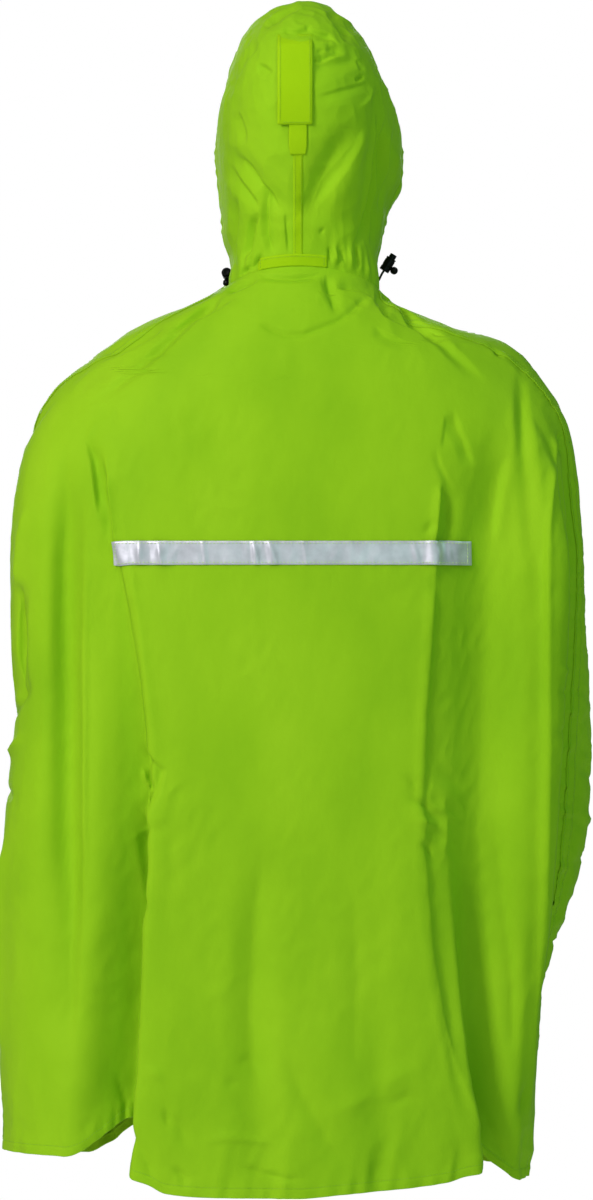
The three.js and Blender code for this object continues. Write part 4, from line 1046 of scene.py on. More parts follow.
# Drawcord ends, locks and beads

CORD_DIAMETER = 2.6
LOCK_LENGTH = 17
LOCK_DIAMETER = 10
LOCK_SEEN_RADIUS = 5.9
BUTTON_DIAMETER = 8
BUTTON_LENGTH = 5
BEAD_DIAMETER = 9
BEAD_SHIFT = -2
CORD_GAP = 0.3
CORD_EXIT_RISE = 40
CORD_NAMES = ("side", "lock", "axis", "bead_side", "route")
CORD_ROWS = [
    ("right", (-102.5, -46, 6), (-0.53, 0, 0.85), (-0.57, 0, -0.82), ((-84.5, -53, -15), (-91, -50, -13))),
    ("left", (81, -40, -5), (0.06, 0.98, 0.16), (0.05, 0.1, -1), ((70, -57, -11), (76, -59, -9))),
]
CORDS = [dict(zip(CORD_NAMES, row)) for row in CORD_ROWS]


def lathe(cloth, profile, centre, axis, sides=28):
    """Turns a profile of (radius, height) rows round an axis."""
    axis = unit(np.asarray(axis, float))
    helper = np.array([1.0, 0, 0]) if abs(axis[0]) < 0.8 else np.array([0, 1.0, 0])
    first = unit(np.cross(axis, helper))
    second = np.cross(axis, first)
    turns = np.linspace(0, 2 * math.pi, sides + 1)
    ring = np.cos(turns)[:, None] * first + np.sin(turns)[:, None] * second
    rows = [np.asarray(centre, float) + ring * radius + axis * height for radius, height in profile]
    cloth.grid(np.stack(rows), flip=True)


def rounded_profile(points, radius, steps=4):
    """A profile with each inner corner rounded."""
    out = [points[0]]
    for before, corner, after in zip(points, points[1:], points[2:]):
        before, corner, after = (np.asarray(p, float) for p in (before, corner, after))
        back = corner - before
        ahead = after - corner
        reach = min(radius, np.linalg.norm(back) * 0.45, np.linalg.norm(ahead) * 0.45)
        start = corner - back / np.linalg.norm(back) * reach
        end = corner + ahead / np.linalg.norm(ahead) * reach
        for i in range(steps + 1):
            t = i / steps
            out.append(tuple((1 - t) ** 2 * start + 2 * t * (1 - t) * corner + t * t * end))
    out.append(points[-1])
    return out


def make_lock(cord):
    radius = LOCK_SEEN_RADIUS
    half = LOCK_LENGTH / 2
    button = BUTTON_DIAMETER / 2
    bore = 1.7
    outline = [
        (bore, -half + 3), (bore, -half), (radius, -half), (radius, -half + 5), (radius - 0.5, -half + 5.5),
        (radius - 0.5, -half + 6.5), (radius, -half + 7), (radius, half - 3), (radius - 0.4, half - 2.6),
        (radius - 0.4, half - 1.9), (radius, half - 1.5), (radius, half), (button + 0.35, half),
        (button + 0.35, half - 1.2), (button, half - 1.2), (button, half + BUTTON_LENGTH),
        (button - 1.6, half + BUTTON_LENGTH), (button - 2.2, half + BUTTON_LENGTH - 0.6),
        (0.01, half + BUTTON_LENGTH - 0.6),
    ]
    cloth = Cloth()
    lathe(cloth, rounded_profile(outline, 0.7), cord["lock"], cord["axis"])
    return cloth.build(f"toggle_{cord['side']}", PLASTIC, "black_plastic", [f"cord_lock_{cord['side']}"])


def bead_centre(cord):
    axis = unit(np.asarray(cord["axis"], float))
    side = np.asarray(cord["bead_side"], float)
    side = unit(side - side.dot(axis) * axis)
    centre = np.asarray(cord["lock"], float) + side * ((LOCK_DIAMETER + BEAD_DIAMETER) / 2 + CORD_GAP)
    return centre + axis * BEAD_SHIFT, side


def make_bead(cord):
    centre, side = bead_centre(cord)
    radius = BEAD_DIAMETER / 2
    turns = np.linspace(0, math.pi, 17)
    profile = [(max(radius * math.sin(t), 0.01), -radius * math.cos(t)) for t in turns]
    groove = [(r - 0.22 * math.exp(-((h / 0.5) ** 2)), h) for r, h in profile]
    cloth = Cloth()
    lathe(cloth, groove, centre, side)
    low = -radius - 0.6
    high = -radius + 1.2
    collar = [(0.01, low), (1.9, low), (2.3, high), (0.01, high)]
    lathe(cloth, rounded_profile(collar, 0.4), centre, side)
    return cloth.build(f"cord_end_{cord['side']}", PLASTIC, "black_plastic", [f"cord_bead_{cord['side']}"])


def through(points, count):
    """A smooth line through a few points, evenly spaced."""
    points = np.asarray(points, float)
    place = walked_along(points)
    curves = [curve_through(place, points[:, i]) for i in range(3)]
    fine = np.linspace(0, place[-1], 200)
    line = np.stack([curve(fine) for curve in curves], axis=-1)
    walked = walked_along(line)
    even = np.linspace(0, walked[-1], count)
    return np.stack([np.interp(even, walked, line[:, i]) for i in range(3)], axis=-1), walked[-1]


def make_cord(cord, start):
    axis = unit(np.asarray(cord["axis"], float))
    lock = np.asarray(cord["lock"], float)
    below = [lock - axis * (LOCK_LENGTH / 2 + gap) for gap in (4, CORD_GAP)]
    inside = [lock - axis * (LOCK_LENGTH / 2 - deep) for deep in (5, 12)]
    line, length = through([start, *cord["route"], *below, *inside], 16)
    data = bpy.data.curves.new(f"drawcord_{cord['side']}", "CURVE")
    data.dimensions = "3D"
    data.bevel_depth = CORD_DIAMETER / 2 * MM
    data.bevel_resolution = 4
    data.use_fill_caps = True
    spline = data.splines.new("POLY")
    spline.points.add(len(line) - 1)
    for point, place in zip(spline.points, line):
        point.co = (*(place * MM), 1)
    piece = add_piece(f"drawcord_{cord['side']}", data, CORD, [f"cord_{cord['side']}"])
    print(f"drawcord {cord['side']}: {length:.1f} mm")
    return piece


# The hood's form

ARCH_NAMES = ("rise", "seam_y", "seam_z", "side_y", "side_z", "left", "right", "end")
ARCHES = [
    (0, 60, 0, 0, -24, 78, 92, 172),
    (22, 62, 22, -8, -8, 75, 90, 136),
    (45, 66, 45, -14, 8, 77, 90, 118),
    (98, 84, 95, -24, 42, 84, 96, 108),
    (152, 101, 145, -37, 76, 87, 105, 103),
    (197, 107, 190, -50, 108, 90, 118, 99),
    (244, 98, 237, -62, 136, 93, 118, 96),
    (298, 66, 280, -72, 156, 88, 106, 94),
    (355, 12, 303, -80, 170, 84, 97, 93),
    (411, -42, 289, -86, 178, 84, 95, 92),
    (470, -88, 252, -92, 184, 85, 96, 91),
]
arch = curves_through(ARCH_NAMES, ARCHES)
HOOD_TOP_RISE = 470
HOOD_SQUARE = 2.1
NECK_BLEND = 45
TUNNEL_WIDTH = 22
TUNNEL_RAISE = 0.8

# Creases of the hood in the solids, seen from behind: X and Z of the start, then of the end,
# then the width and height
HOOD_FORM = [
    (75, 132, 14, 64, 9, -4),
    (77, 120, 42, 70, 7, -3),
    (34, 84, 26, 18, 6, -2.5),
    (-52, 140, -12, 56, 16, -6),
    (-78, 150, -34, 66, 15, 4),
    (-88, 190, -72, 36, 8, -4),
    (-20, 222, -64, 230, 7, -3),
]

# Gathers of the hood above the neck seam: X of both ends, count, length and height
HOOD_GATHERS = [(46, 68, 3, 34, 2.2), (-84, -37, 5, 42, 2.4)]

# Finer creases of the hood, seen from behind: name, points in X and Z, width and height
HOOD_CREASES = [
    ("crown nick a", [(-6, 267), (-16, 268)], 2.6, -1.8),
    ("crown nick b", [(17, 264), (7, 264)], 2.6, -1.4),
    ("crown crumple a", [(-22, 250), (-36, 252), (-47, 246)], 3.5, 1.2),
    ("crown crumple b", [(-29, 242), (-40, 245), (-50, 239)], 3.5, -1.1),
    ("crown crumple c", [(-20, 239), (-31, 243)], 3, -1.0),
    ("tab dark spot", [(-16, 230), (-22, 229)], 2.6, -1.6),
    ("bright sliver", [(-81, 206), (-83, 196), (-80, 187), (-69, 176)], 3.4, 1.0),
    ("crumple mid right", [(-30, 44), (-24, 35)], 3, -1.1),
    ("left gather a", [(54, -6), (45, 8), (40, 16)], 3, -2.2),
    ("left gather b", [(63, -10), (55, 1)], 3, -2.0),
    ("left gather c", [(58, 6), (54, 19)], 3, 1.8),
    ("right gather a", [(-35, 24), (-37, 4)], 2.6, -1.8),
    ("right gather b", [(-41, 22), (-45, 2)], 2.6, 1.4),
    ("right gather c", [(-48, 21), (-53, 0)], 2.6, -1.7),
    ("right gather d", [(-57, 24), (-59, -1)], 2.8, 1.3),
    ("right gather e", [(-65, 26), (-69, -4)], 2.6, -1.6),
    ("right trough", [(-48, 138), (-19, 76), (-7, 48)], 10, -0.6),
    ("right ridge", [(-73, 150), (-28, 93), (-11, 54)], 8, 1.0),
]

# Folded edges of the hood: name, points in X and Z, side, sharp, reach and height
HOOD_STEPS = [
    ("crown seam", [(31, 264), (16, 265), (2, 265), (-6, 267), (-15, 267), (-25, 264), (-35, 262),
                    (-44, 252), (-52, 242)], 1, 3, 15, 2.2),
    ("crown left facet", [(31, 264), (29, 270), (12, 282), (-6, 291)], -1, 4, 24, 3.6),
    ("crown right facet", [(-27, 288), (-36, 276), (-45, 264), (-52, 250)], -1, 4, 20, 2.6),
    ("left seam line", [(40, 255), (47, 243), (57, 231), (65, 220), (71, 205), (75, 186)], 1, 3, 12, 2.0),
    ("tab left facet", [(45, 230), (34, 225), (25, 217)], 1, 4, 16, 1.8),
    ("left cheek low", [(66, 178), (62, 166), (58, 152), (56, 136)], 1, 4, 14, 2.2),
    ("left long", [(73, 131), (59, 120), (47, 104), (38, 91), (27, 78), (19, 65), (15, 55)], 1, 4, 17, 2.6),
    ("left second", [(78, 122), (69, 104), (60, 91), (49, 77), (39, 65)], 1, 4, 16, 2.6),
    ("left upright", [(35, 84), (33, 59), (32, 35), (24, 11)], 1, 3, 12, 2.8),
    ("left upright two", [(40, 59), (47, 46), (50, 26), (55, 1)], 1, 3.5, 12, 3.0),
    ("left upright three", [(67, 84), (67, 54), (69, 24), (69, -3)], 1, 3.5, 14, 2.8),
    ("left by the tape", [(17, 62), (15, 37), (13, 12)], -1, 2.5, 8, 1.4),
    ("tab right crumple", [(-17, 226), (-28, 227), (-41, 234), (-55, 238)], -1, 3, 16, 2.2),
    ("facet corner", [(-64, 234), (-66, 227), (-69, 217)], -1, 3, 10, 1.2),
    ("right crease low", [(-18, 190), (-32, 194), (-47, 199), (-60, 203), (-72, 207),
                          (-81, 210)], 1, 3, 14, 1.1),
    ("right nick", [(-62, 210), (-72, 217)], 1, 2.5, 7, 1.8),
    ("right trough edge", [(-80, 169), (-76, 149), (-67, 128), (-57, 110), (-41, 87), (-24, 64),
                           (-15, 49)], 1, 8, 44, 2.6),
    ("face band edge", [(-88, 179), (-90, 149), (-87, 124), (-85, 99), (-78, 65), (-72, 48),
                        (-57, 18)], -1, 3, 13, 5.2),
    ("face band second", [(-97, 178), (-96, 158), (-94, 132), (-92, 87), (-86, 63), (-82, 39),
                          (-80, 15)], -1, 3, 12, 4.0),
    ("face band third", [(-105, 162), (-105, 138), (-103, 110), (-96, 82), (-91, 55)], -1, 3, 12, 3.2),
]


def hood_segments(x, z):
    height = np.zeros(np.shape(x))
    for x1, z1, x2, z2, width, tall in HOOD_FORM:
        dx, dz = x2 - x1, z2 - z1
        part = ((x - x1) * dx + (z - z1) * dz) / (dx * dx + dz * dz)
        across = np.abs((x - x1) * dz - (z - z1) * dx) / math.hypot(dx, dz)
        ends = smooth((part + 0.12) / 0.3) * smooth((1.12 - part) / 0.3)
        height += tall * ends * np.exp(-((across / width) ** 2))
    return height


def smooth_hood(rise, turn):
    at = {name: curve(rise) for name, curve in arch.items()}
    across, along = rounded_square(turn, HOOD_SQUARE)
    x = across * np.where(across > 0, at["left"], at["right"])
    y = at["side_y"] + (at["seam_y"] - at["side_y"]) * along
    z = at["side_z"] + (at["seam_z"] - at["side_z"]) * along
    arched = np.stack([x, y, z + 0 * x], axis=-1)
    seam = smooth_body(0 * rise, turn)
    seam[..., 2] += 0.4 + rise
    share = smooth(rise / NECK_BLEND)[..., None]
    return seam + (arched - seam) * share


def dressed_hood(rise, turn, face_distance):
    """Points and normals of the finished hood. Rows run down, from the brim to the neck seam."""
    points = smooth_hood(rise, turn)
    normals = grid_normals(points)
    x, y, z = points[..., 0], points[..., 1], points[..., 2]
    seen = smooth((y + 75) / 30)
    height = seen * hood_segments(x, z)
    for low, high, count, length, tall in HOOD_GATHERS:
        part = (x - low) / (high - low)
        strength = smooth(rise / 12) * smooth((length - rise) / length)
        inside = (part > 0) & (part < 1) & (y > 0)
        height += np.where(inside, tall * strength * np.sin(np.pi * part * count) ** 2, 0)
    height += seen * (line_field(x, z, HOOD_CREASES) + step_field(x, z, HOOD_STEPS))
    height += 2.6 * (value_noise(x / 45, y / 45, z / 60, 21) - 0.5) * smooth(rise / 30)
    crown = smooth((rise - 225) / 60)
    crumples = ridges(x / 26, y / 26, (z + 0.4 * x) / 30, 22) - 0.55
    height += (1.6 + 1.4 * crown) * crumples * smooth(rise / 30)
    height += (0.7 + 0.7 * crown) * (ridges((x - 0.3 * z) / 12, y / 12, z / 17, 23) - 0.55)

    # The elastic in the tunnel draws the cloth round the face into small gathers
    at_face = smooth((50 - face_distance) / 40)
    fan = (rise + 0.5 * face_distance) / 19
    height += 1.9 * at_face * (ridges(fan, face_distance / 34, 0 * rise, 24) - 0.5)
    height += 0.6 * at_face * (ridges(rise / 8, face_distance / 14, 0 * rise, 28) - 0.5)
    gathered = smooth((70 - rise) / 60) * smooth((np.abs(x) - 28) / 24)
    height += 1.8 * gathered * (ridges(x / 9, y / 12, z / 50, 25) - 0.5)
    dressed = points + normals * height[..., None]
    return dressed, grid_normals(dressed)


def hood_edge_turns(rises, side, steps=160):
    """Turns and lengths along each arch, from the middle seam to the face."""
    ends = arch["end"](rises) * side
    turns = ends[:, None] * np.linspace(0, 1, steps + 1)[None, :]
    points = smooth_hood(rises[:, None] + 0 * turns, turns)
    walked = np.cumsum(np.linalg.norm(np.diff(points, axis=1), axis=2), axis=1)
    return turns, np.concatenate([np.zeros((len(rises), 1)), walked], axis=1)


HOOD_RISES = spaced((HOOD_TOP_RISE, 430, 1.8), (430, 290, 2.7), (290, 0, 1.5))
HOOD_COLUMNS = 170
TUNNEL_COLUMNS = 26
BRIM_ROWS = 13


def make_hood(side):
    rises = HOOD_RISES
    fine_turns, lengths = hood_edge_turns(rises, side)
    totals = lengths[:, -1]
    shares = np.linspace(0, 1, HOOD_COLUMNS + 1)
    places = totals[:, None] * shares[None, :]
    turns = np.stack([np.interp(places[r], lengths[r], fine_turns[r]) for r in range(len(rises))])
    if side < 0:
        turns = turns[:, ::-1]
        places = places[:, ::-1]
    rise = rises[:, None] + 0 * turns
    to_face = np.minimum(totals[:, None] - places, HOOD_TOP_RISE - rise)
    points, normals = dressed_hood(rise, turns, to_face)
    in_tunnel = smooth((TUNNEL_WIDTH + 1.0 - to_face) / 2.0)
    groove = np.exp(-(((to_face - TUNNEL_WIDTH) / 1.6) ** 2))
    roll = np.sqrt(np.clip(1 - ((to_face - TUNNEL_WIDTH / 2) / (TUNNEL_WIDTH / 2 + 1)) ** 2, 0, 1))
    lift = TUNNEL_RAISE * in_tunnel * (0.4 + 1.2 * roll) - 0.7 * groove
    points = points + normals * lift[..., None]
    cloth = Cloth()
    cloth.grid(points, places, rise)

    # The tunnel's inner layer, turned in from the face edge and from the brim
    inner = points - normals * (1.1 + 1.6 * roll)[..., None]
    columns = np.arange(TUNNEL_COLUMNS) if side < 0 else HOOD_COLUMNS - np.arange(TUNNEL_COLUMNS)
    turned = np.concatenate([points[:, columns[:1]], inner[:, columns]], axis=1)
    cloth.grid(turned, flip=side < 0)
    allowance = points[-1:] - np.array([0, 0, 5.0]) - unit(points[-1:] * np.array([1, 1, 0])) * 1.2
    cloth.grid(np.concatenate([points[-1:], allowance], axis=0))
    brim = np.concatenate([points[:1], inner[:BRIM_ROWS]], axis=0)
    cloth.grid(brim, flip=True)
    name = "left" if side > 0 else "right"
    piece = cloth.build(f"hood_cloth_{name}", CLOTH, "cloth", [f"hood_{name}"])
    return piece, {"rises": rises, "turns": turns, "points": points, "normals": normals, "places": places,
                   "totals": totals, "to_face": to_face}


hood_left_piece, hood_left = make_hood(1)
hood_right_piece, hood_right = make_hood(-1)

# The body panels

BODY_DROPS = spaced((0, 60, 1.7), (60, 300, 2.4), (300, 560, 4.0), (560, 680, 2.8), (680, 1000, 4.4),
                    (1000, HEM_DROP - HEM_DEPTH, 1.9), (HEM_DROP - HEM_DEPTH, HEM_DROP, 1.4))
FRONT_DROPS = spaced((0, 60, 2.6), (60, 1030, 4.6), (1030, HEM_DROP - HEM_DEPTH, 2.6),
                     (HEM_DROP - HEM_DEPTH, HEM_DROP, 1.6))
BACK_COLUMNS = 276
FRONT_COLUMNS = 200
FOLD_CLOSENESS = 2.4
FOLD_REACH = 30


def panel_turns(rows, start, end, columns):
    """Columns of a panel, closer together where a fold is steep."""
    steps = 700
    middles = start + (end - start) * (np.arange(steps) + 0.5) / steps
    closeness = np.ones(middles.shape)
    for fold in FOLDS:
        if abs(fold["height"]) / min(fold["centre"], fold["side"]) > 0.9:
            line = rows.length_at(fold_line(fold, rows.drops[:, None]))
            line = line - side_direction(fold) * fold["centre"] * 0.4
            distance = around(middles - line, rows.total[:, None])
            closeness += FOLD_CLOSENESS * np.exp(-((distance / FOLD_REACH) ** 2))
    sums = np.concatenate([np.zeros((len(rows.drops), 1)), np.cumsum(closeness, axis=1)], axis=1)
    edges = start + (end - start) * np.arange(steps + 1) / steps
    lengths = np.empty((len(rows.drops), columns + 1))
    for r in range(len(rows.drops)):
        wanted = np.linspace(0, sums[r, -1], columns + 1)
        lengths[r] = np.interp(wanted, sums[r], edges[r])
    return rows.turn_at(lengths), lengths


def make_panel(side, drops, columns, name, node):
    rows = Rows(drops)
    right, left = seam_lengths(rows)
    start, end = (right, left) if side == "back" else (left, right + rows.total[:, None])
    turns, lengths = panel_turns(rows, start, end, columns)
    points, normals = dressed_body(rows, turns)
    drop = drops[:, None] + 0 * turns
    hem = smooth((drop - (HEM_DROP - HEM_DEPTH - 1.4)) / 1.8)
    groove = np.exp(-(((drop - (HEM_DROP - HEM_DEPTH)) / 1.6) ** 2))
    points = points + normals * (HEM_STEP * hem - 0.45 * groove)[..., None]
    cloth = Cloth()
    cloth.grid(points, lengths, drop)

    # The hem turns in over its lower edge and goes up inside
    hem_rows = int(np.sum(drops >= HEM_DROP - HEM_DEPTH - 0.01))
    inner = points[-hem_rows:][::-1] - normals[-hem_rows:][::-1] * 1.5
    bottom = points[-1:] - normals[-1:] * 0.75
    bottom[..., 2] -= 0.5
    turned = np.concatenate([points[-1:], bottom, inner], axis=0)
    cloth.grid(turned, lengths[-hem_rows - 2:], drop[-hem_rows - 2:])
    piece = cloth.build(name, CLOTH, "cloth", [node])
    corner = points[:-1, :-1]
    area = np.linalg.norm(np.cross(points[1:, :-1] - corner, points[:-1, 1:] - corner), axis=-1)
    print(f"{name}: {area.sum() * 1e-6:.3f} square metres, hem {np.ptp(lengths[-1]):.0f} mm")
    return piece, points, normals


back_piece, back_points, back_normals = make_panel("back", BODY_DROPS, BACK_COLUMNS, "cloth_back", "back_panel")
front_piece, front_points, front_normals = make_panel(
    "front", FRONT_DROPS, FRONT_COLUMNS, "cloth_front", "front_panel")

# Pieces sewn on the panels

threads = Stitches()
pale_threads = Stitches()


def make_side_seam(side):
    """The felled seam: a narrow double strip over the edges of both panels, stitched along each edge."""
    drops = spaced((10, HEM_DROP - 2, 3.0))
    rows = Rows(drops)
    sign = 1 if side == "left" else -1
    middle = rows.length_at(sign * seam_turn[side](drops)[:, None])
    places = middle + np.linspace(-FELL_WIDTH / 2, FELL_WIDTH / 2, 7)[None, :]
    wide = middle + np.linspace(-FELL_WIDTH, FELL_WIDTH, 9)[None, :]
    turns = rows.turn_at(wide)
    points, normals = dressed_body(rows, turns)
    columns = [np.interp(places[r], wide[r], np.arange(wide.shape[1])) for r in range(len(drops))]
    columns = np.array(columns)
    low = np.clip(np.floor(columns).astype(int), 0, wide.shape[1] - 2)
    part = (columns - low)[..., None]

    def pick(table):
        a = np.take_along_axis(table, low[..., None], axis=1)
        b = np.take_along_axis(table, low[..., None] + 1, axis=1)
        return a + (b - a) * part

    seam_points, seam_normals = pick(points), unit(pick(normals))
    pucker = 0.9 * (ridges(drops / 8, 0 * drops, 0 * drops, 31) - 0.4)
    crown = np.array([0.0, 0.6, 1.0, 0.8, 1.0, 0.6, 0.0])
    raised = seam_points + seam_normals * (FELL_LIFT + pucker[:, None] * crown[None, :])[..., None]
    cloth = Cloth()
    ribbon(cloth, raised, seam_normals, 0.1, 0.5, 0.3)
    cloth.build(f"felled_seam_{side}", CLOTH, "cloth", [f"side_seam_{side}"])
    for column in (1, 5):
        threads.along(raised[:, column] + seam_normals[:, column] * 0.6, seam_normals[:, column])


make_side_seam("left")
make_side_seam("right")

STRIP_LEFT = 204
STRIP_RIGHT = -193
STRIP_TOP_DROP = 329
STRIP_HEIGHT = 25
SEARCH_LEFT = 236.0
SEARCH_RIGHT = -230.0

# Creases of the reflective strip: name, points in X and the drop below its top edge, width and height
STRIP_CREASES = [
    ("end b", [(176, -2), (179, 27)], 4, 0.8),
    ("end c", [(157, 0), (153, 25)], 4, 0.8),
    ("vee a", [(50, -2), (44, 27)], 3.5, 0.7),
    ("vee b", [(33, -2), (23, 27)], 3.5, 0.8),
    ("right slant", [(-128, -2), (-136, 27)], 4, 0.8),
    ("right edge", [(-168, -2), (-170, 27)], 3.5, 0.8),
]

STRIP_FACETS = [
    # place from the middle toward the right, height
    (-204, 1.6), (-188, 0.0), (-177, 1.9), (-166, 0.1), (-154, 2.2), (-137, 0.0), (-108, 0.0), (-105, 0.9),
    (-101, 0.0), (-52, 0.0), (-49, 1.4), (-43, 0.0), (-36, 0.0), (-31, 1.7), (-20, 0.0), (5, 0.0), (8, 0.6),
    (12, 0.0), (138, 0.0), (149, 2.4), (168, 0.1), (176, 1.9), (196, 0.0),
]


def make_strip():
    extra = 3
    drops = np.linspace(STRIP_TOP_DROP - extra, STRIP_TOP_DROP + STRIP_HEIGHT + extra, 14)
    rows = Rows(drops)
    count = 240
    places = np.linspace(STRIP_RIGHT - extra, STRIP_LEFT + extra, count)[None, :] + 0 * drops[:, None]
    # The strip's columns are found by their X on the folded cloth
    start = turn_on_face(drops[:, None], "back", SEARCH_RIGHT + 0 * drops[:, None])
    end = turn_on_face(drops[:, None], "back", SEARCH_LEFT + 0 * drops[:, None])
    turns = start + (end - start) * np.linspace(0, 1, 900)[None, :]
    cloth_x = folded_body(rows, turns)[..., 0]
    turns = np.stack([np.interp(places[r], cloth_x[r], turns[r]) for r in range(len(drops))])
    points, normals = dressed_body(rows, turns)
    down = drops[:, None] - STRIP_TOP_DROP + 0 * places
    wrinkle = line_field(places, down, STRIP_CREASES)
    facet_places, facet_heights = zip(*STRIP_FACETS)
    wrinkle += np.interp(-places - 0.12 * (down - 12), facet_places, facet_heights)
    wrinkle += 0.7 * (ridges(places / 16, down / 60, 0 * places, 41) - 0.5)
    wrinkle += 0.35 * (value_noise(places / 7, down / 12, 0 * places, 42) - 0.5)
    points = points + normals * (0.9 + np.maximum(wrinkle, 0.05 * wrinkle - 0.3))[..., None]
    normals = grid_normals(points)
    inner = slice(1, -1)
    cloth = Cloth()
    ribbon(cloth, points[inner, inner], normals[inner, inner], 0.1, 0.35, 0.25)
    cloth.build("reflective_band", STRIP, "reflective", ["reflective_strip"])
    for row in (2, -3):
        pale_threads.along(points[row, 3:-3] + normals[row, 3:-3] * 0.5, normals[row, 3:-3], 4.2, 2.8, 0.9)
    for column in (4, -5):
        line = points[2:-2, column] + normals[2:-2, column] * 0.5
        pale_threads.along(line, normals[2:-2, column], 4.2, 2.8, 0.9)


make_strip()

PLACKET_WIDTH = 46
PLACKET_END_DROP = 303


def make_placket():
    """A plain placket down the middle of the front, with its stitching."""
    drops = spaced((3.5, PLACKET_END_DROP, 3.2))
    rows = Rows(drops)
    offset = np.linspace(-PLACKET_WIDTH / 2, PLACKET_WIDTH / 2, 19)
    turns = rows.turn_at(offset[None, ::-1] + rows.total[:, None])
    points, normals = dressed_body(rows, turns)
    lift = 0.55 + 0.35 * (value_noise(drops / 30, 0 * drops, 0 * drops, 51)[:, None])
    points = points + normals * lift[..., None]
    cloth = Cloth()
    ribbon(cloth, points, normals, 0.1, 0.9, 0.4)
    cloth.build("placket", CLOTH, "cloth", ["front_placket"])
    for column in (1, -2, 13):
        threads.along(points[:, column] + normals[:, column] * 1.0, normals[:, column])
    threads.along(points[-2, 1:-1] + normals[-2, 1:-1] * 1.0, normals[-2, 1:-1])


make_placket()

# Stitching round the hem, along the panels' own rows
for points, normals, drops in ((back_points, back_normals, BODY_DROPS),
                               (front_points, front_normals, FRONT_DROPS)):
    row = int(np.argmin(np.abs(drops - (HEM_DROP - HEM_DEPTH))))
    threads.along(points[row] + normals[row] * 0.15, normals[row])

# Pieces sewn on the hood

HOOD_TAPE_WIDTH = 10
TAB_WIDTH = 39
TAB_TOP_RISE = 272
TAB_END_RISE = 165
TAB_SINK = 6.0
SINK_SHARE = 0.17
TAB_SHIFT = 3.4
HOOD_TAPE_TOP_RISE = 240
STRAP_WIDTH = 20
STRAP_LENGTH = 46
STRAP_END_RISE = 130
NAPE_PATCH_LEFT = 47
NAPE_PATCH_RIGHT = 33
NAPE_PATCH_HEIGHT = 13


def hood_patch(rises, lengths):
    """A grid on the hood: rows at these rises, columns at these lengths from the middle seam."""
    right_turns, right_walked = hood_edge_turns(rises, -1)
    left_turns, left_walked = hood_edge_turns(rises, 1)
    turns = np.empty((len(rises), len(lengths)))
    for r in range(len(rises)):
        turns[r] = np.where(lengths < 0, np.interp(-lengths, right_walked[r], right_turns[r]),
                            np.interp(lengths, left_walked[r], left_turns[r]))
    rise = rises[:, None] + 0 * turns
    to_face = np.minimum(110.0, HOOD_TOP_RISE - rise)
    return dressed_hood(rise, turns, to_face)


def make_hood_tape():
    rises = spaced((HOOD_TAPE_TOP_RISE, NAPE_PATCH_HEIGHT - 2, 2.6))
    lengths = np.linspace(-HOOD_TAPE_WIDTH / 2, HOOD_TAPE_WIDTH / 2, 7)
    points, normals = hood_patch(rises, lengths)
    cloth = Cloth()
    ribbon(cloth, points, normals, 0.15, 0.55, 0.3)
    cloth.build("seam_tape", TAPE, "tape", ["hood_seam_tape"])
    for column in (1, 5):
        threads.along(points[:, column] + normals[:, column] * 0.75, normals[:, column])


def make_nape_patch():
    rises = spaced((NAPE_PATCH_HEIGHT, -0.5, 1.2))
    rises = np.maximum(rises, 0.0)
    rises[-1] = 0.05
    lengths = np.linspace(-NAPE_PATCH_RIGHT, NAPE_PATCH_LEFT, 46)
    points, normals = hood_patch(rises, lengths)
    cloth = Cloth()
    ribbon(cloth, points, normals, 0.25, 0.8, 0.4)
    cloth.build("nape_piece", TAPE, "tape", ["nape_patch"])
    threads.along(points[2, 1:-1] + normals[2, 1:-1] * 1.1, normals[2, 1:-1])
    for column in (2, -3):
        threads.along(points[1:-1, column] + normals[1:-1, column] * 1.1, normals[1:-1, column])


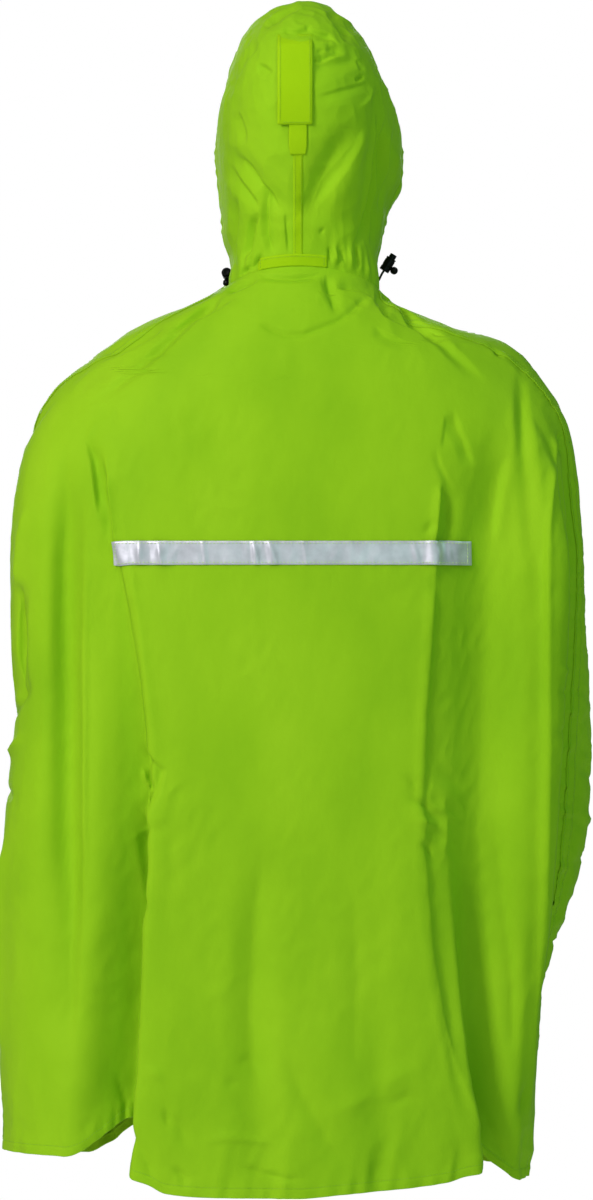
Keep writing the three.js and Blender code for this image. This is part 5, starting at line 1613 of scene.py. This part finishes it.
def flat_strap(name, node, top, end, width, shift, lift, thickness, bow, end_share, sink=0.0):
    """A stiff strap that follows the middle seam and stays flat across."""
    rises = spaced((top, end, 2.6))
    seam = smooth_hood(rises[:, None], np.zeros((len(rises), 1)))
    step = smooth_hood(rises[:, None] - 2, np.zeros((len(rises), 1))) - smooth_hood(
        rises[:, None] + 2, np.zeros((len(rises), 1)))
    normal = unit(np.cross(np.array([[[1.0, 0, 0]]]), step))
    shares = np.linspace(-1, 1, 15)
    along = (top - rises) / (top - end)
    taper = 1 - (1 - end_share) * smooth((along - 0.75) / 0.25)
    points = np.repeat(seam, len(shares), axis=1)
    points[..., 0] += shift + shares[None, :] * (width / 2) * taper[:, None]
    normals = np.repeat(normal, len(shares), axis=1)
    wave = 0.5 * (value_noise(along * 5, 0 * along, 0 * along, 61) - 0.5)[:, None]
    height = lift + bow * (1 - shares[None, :] ** 2) + wave
    height = height - sink * smooth(1 - along / SINK_SHARE)[:, None]
    points = points + normals * height[..., None]
    cloth = Cloth()
    ribbon(cloth, points, normals, 0.0, thickness, 0.25)
    cloth.build(name, TAPE, "tape", [node])
    return points, normals


make_hood_tape()
make_nape_patch()
flat_strap("adjuster_strap", "hood_strap", STRAP_END_RISE + STRAP_LENGTH, STRAP_END_RISE, STRAP_WIDTH, 0,
           1.5, 1.0, 0.4, 0.86)
tab_points, tab_normals = flat_strap("crown_tab", "hood_tab", TAB_TOP_RISE, TAB_END_RISE, TAB_WIDTH,
                                     TAB_SHIFT, 1.9, 1.0, 0.6, 1.0, TAB_SINK)
for column in (1, -2):
    threads.along(tab_points[1:-1, column] + tab_normals[1:-1, column] * 1.45, tab_normals[1:-1, column])
threads.along(tab_points[-2, 1:-1] + tab_normals[-2, 1:-1] * 1.45, tab_normals[-2, 1:-1])

# The tunnel's stitch line round the face
for hood in (hood_left, hood_right):
    stitched = []
    normals = []
    for r in range(len(hood["rises"])):
        if hood["rises"][r] < HOOD_TOP_RISE - TUNNEL_WIDTH:
            c = int(np.argmin(np.abs(hood["totals"][r] - hood["places"][r] - TUNNEL_WIDTH)))
            stitched.append(hood["points"][r, c])
            normals.append(hood["normals"][r, c])
    threads.along(np.array(stitched) + np.array(normals) * 0.2, np.array(normals))

threads.build("stitching", THREAD, "cloth")
pale_threads.build("strip_stitching", PALE_THREAD, "reflective")

# Cords at the cheeks

for cord, hood in ((CORDS[0], hood_right), (CORDS[1], hood_left)):
    pieces = [make_lock(cord), make_bead(cord)]
    row = int(np.argmin(np.abs(hood["rises"] - CORD_EXIT_RISE)))
    column = 0 if cord["side"] == "right" else -1
    edge = hood["points"][row, column] - hood["normals"][row, column] * 0.8
    make_cord(cord, edge)
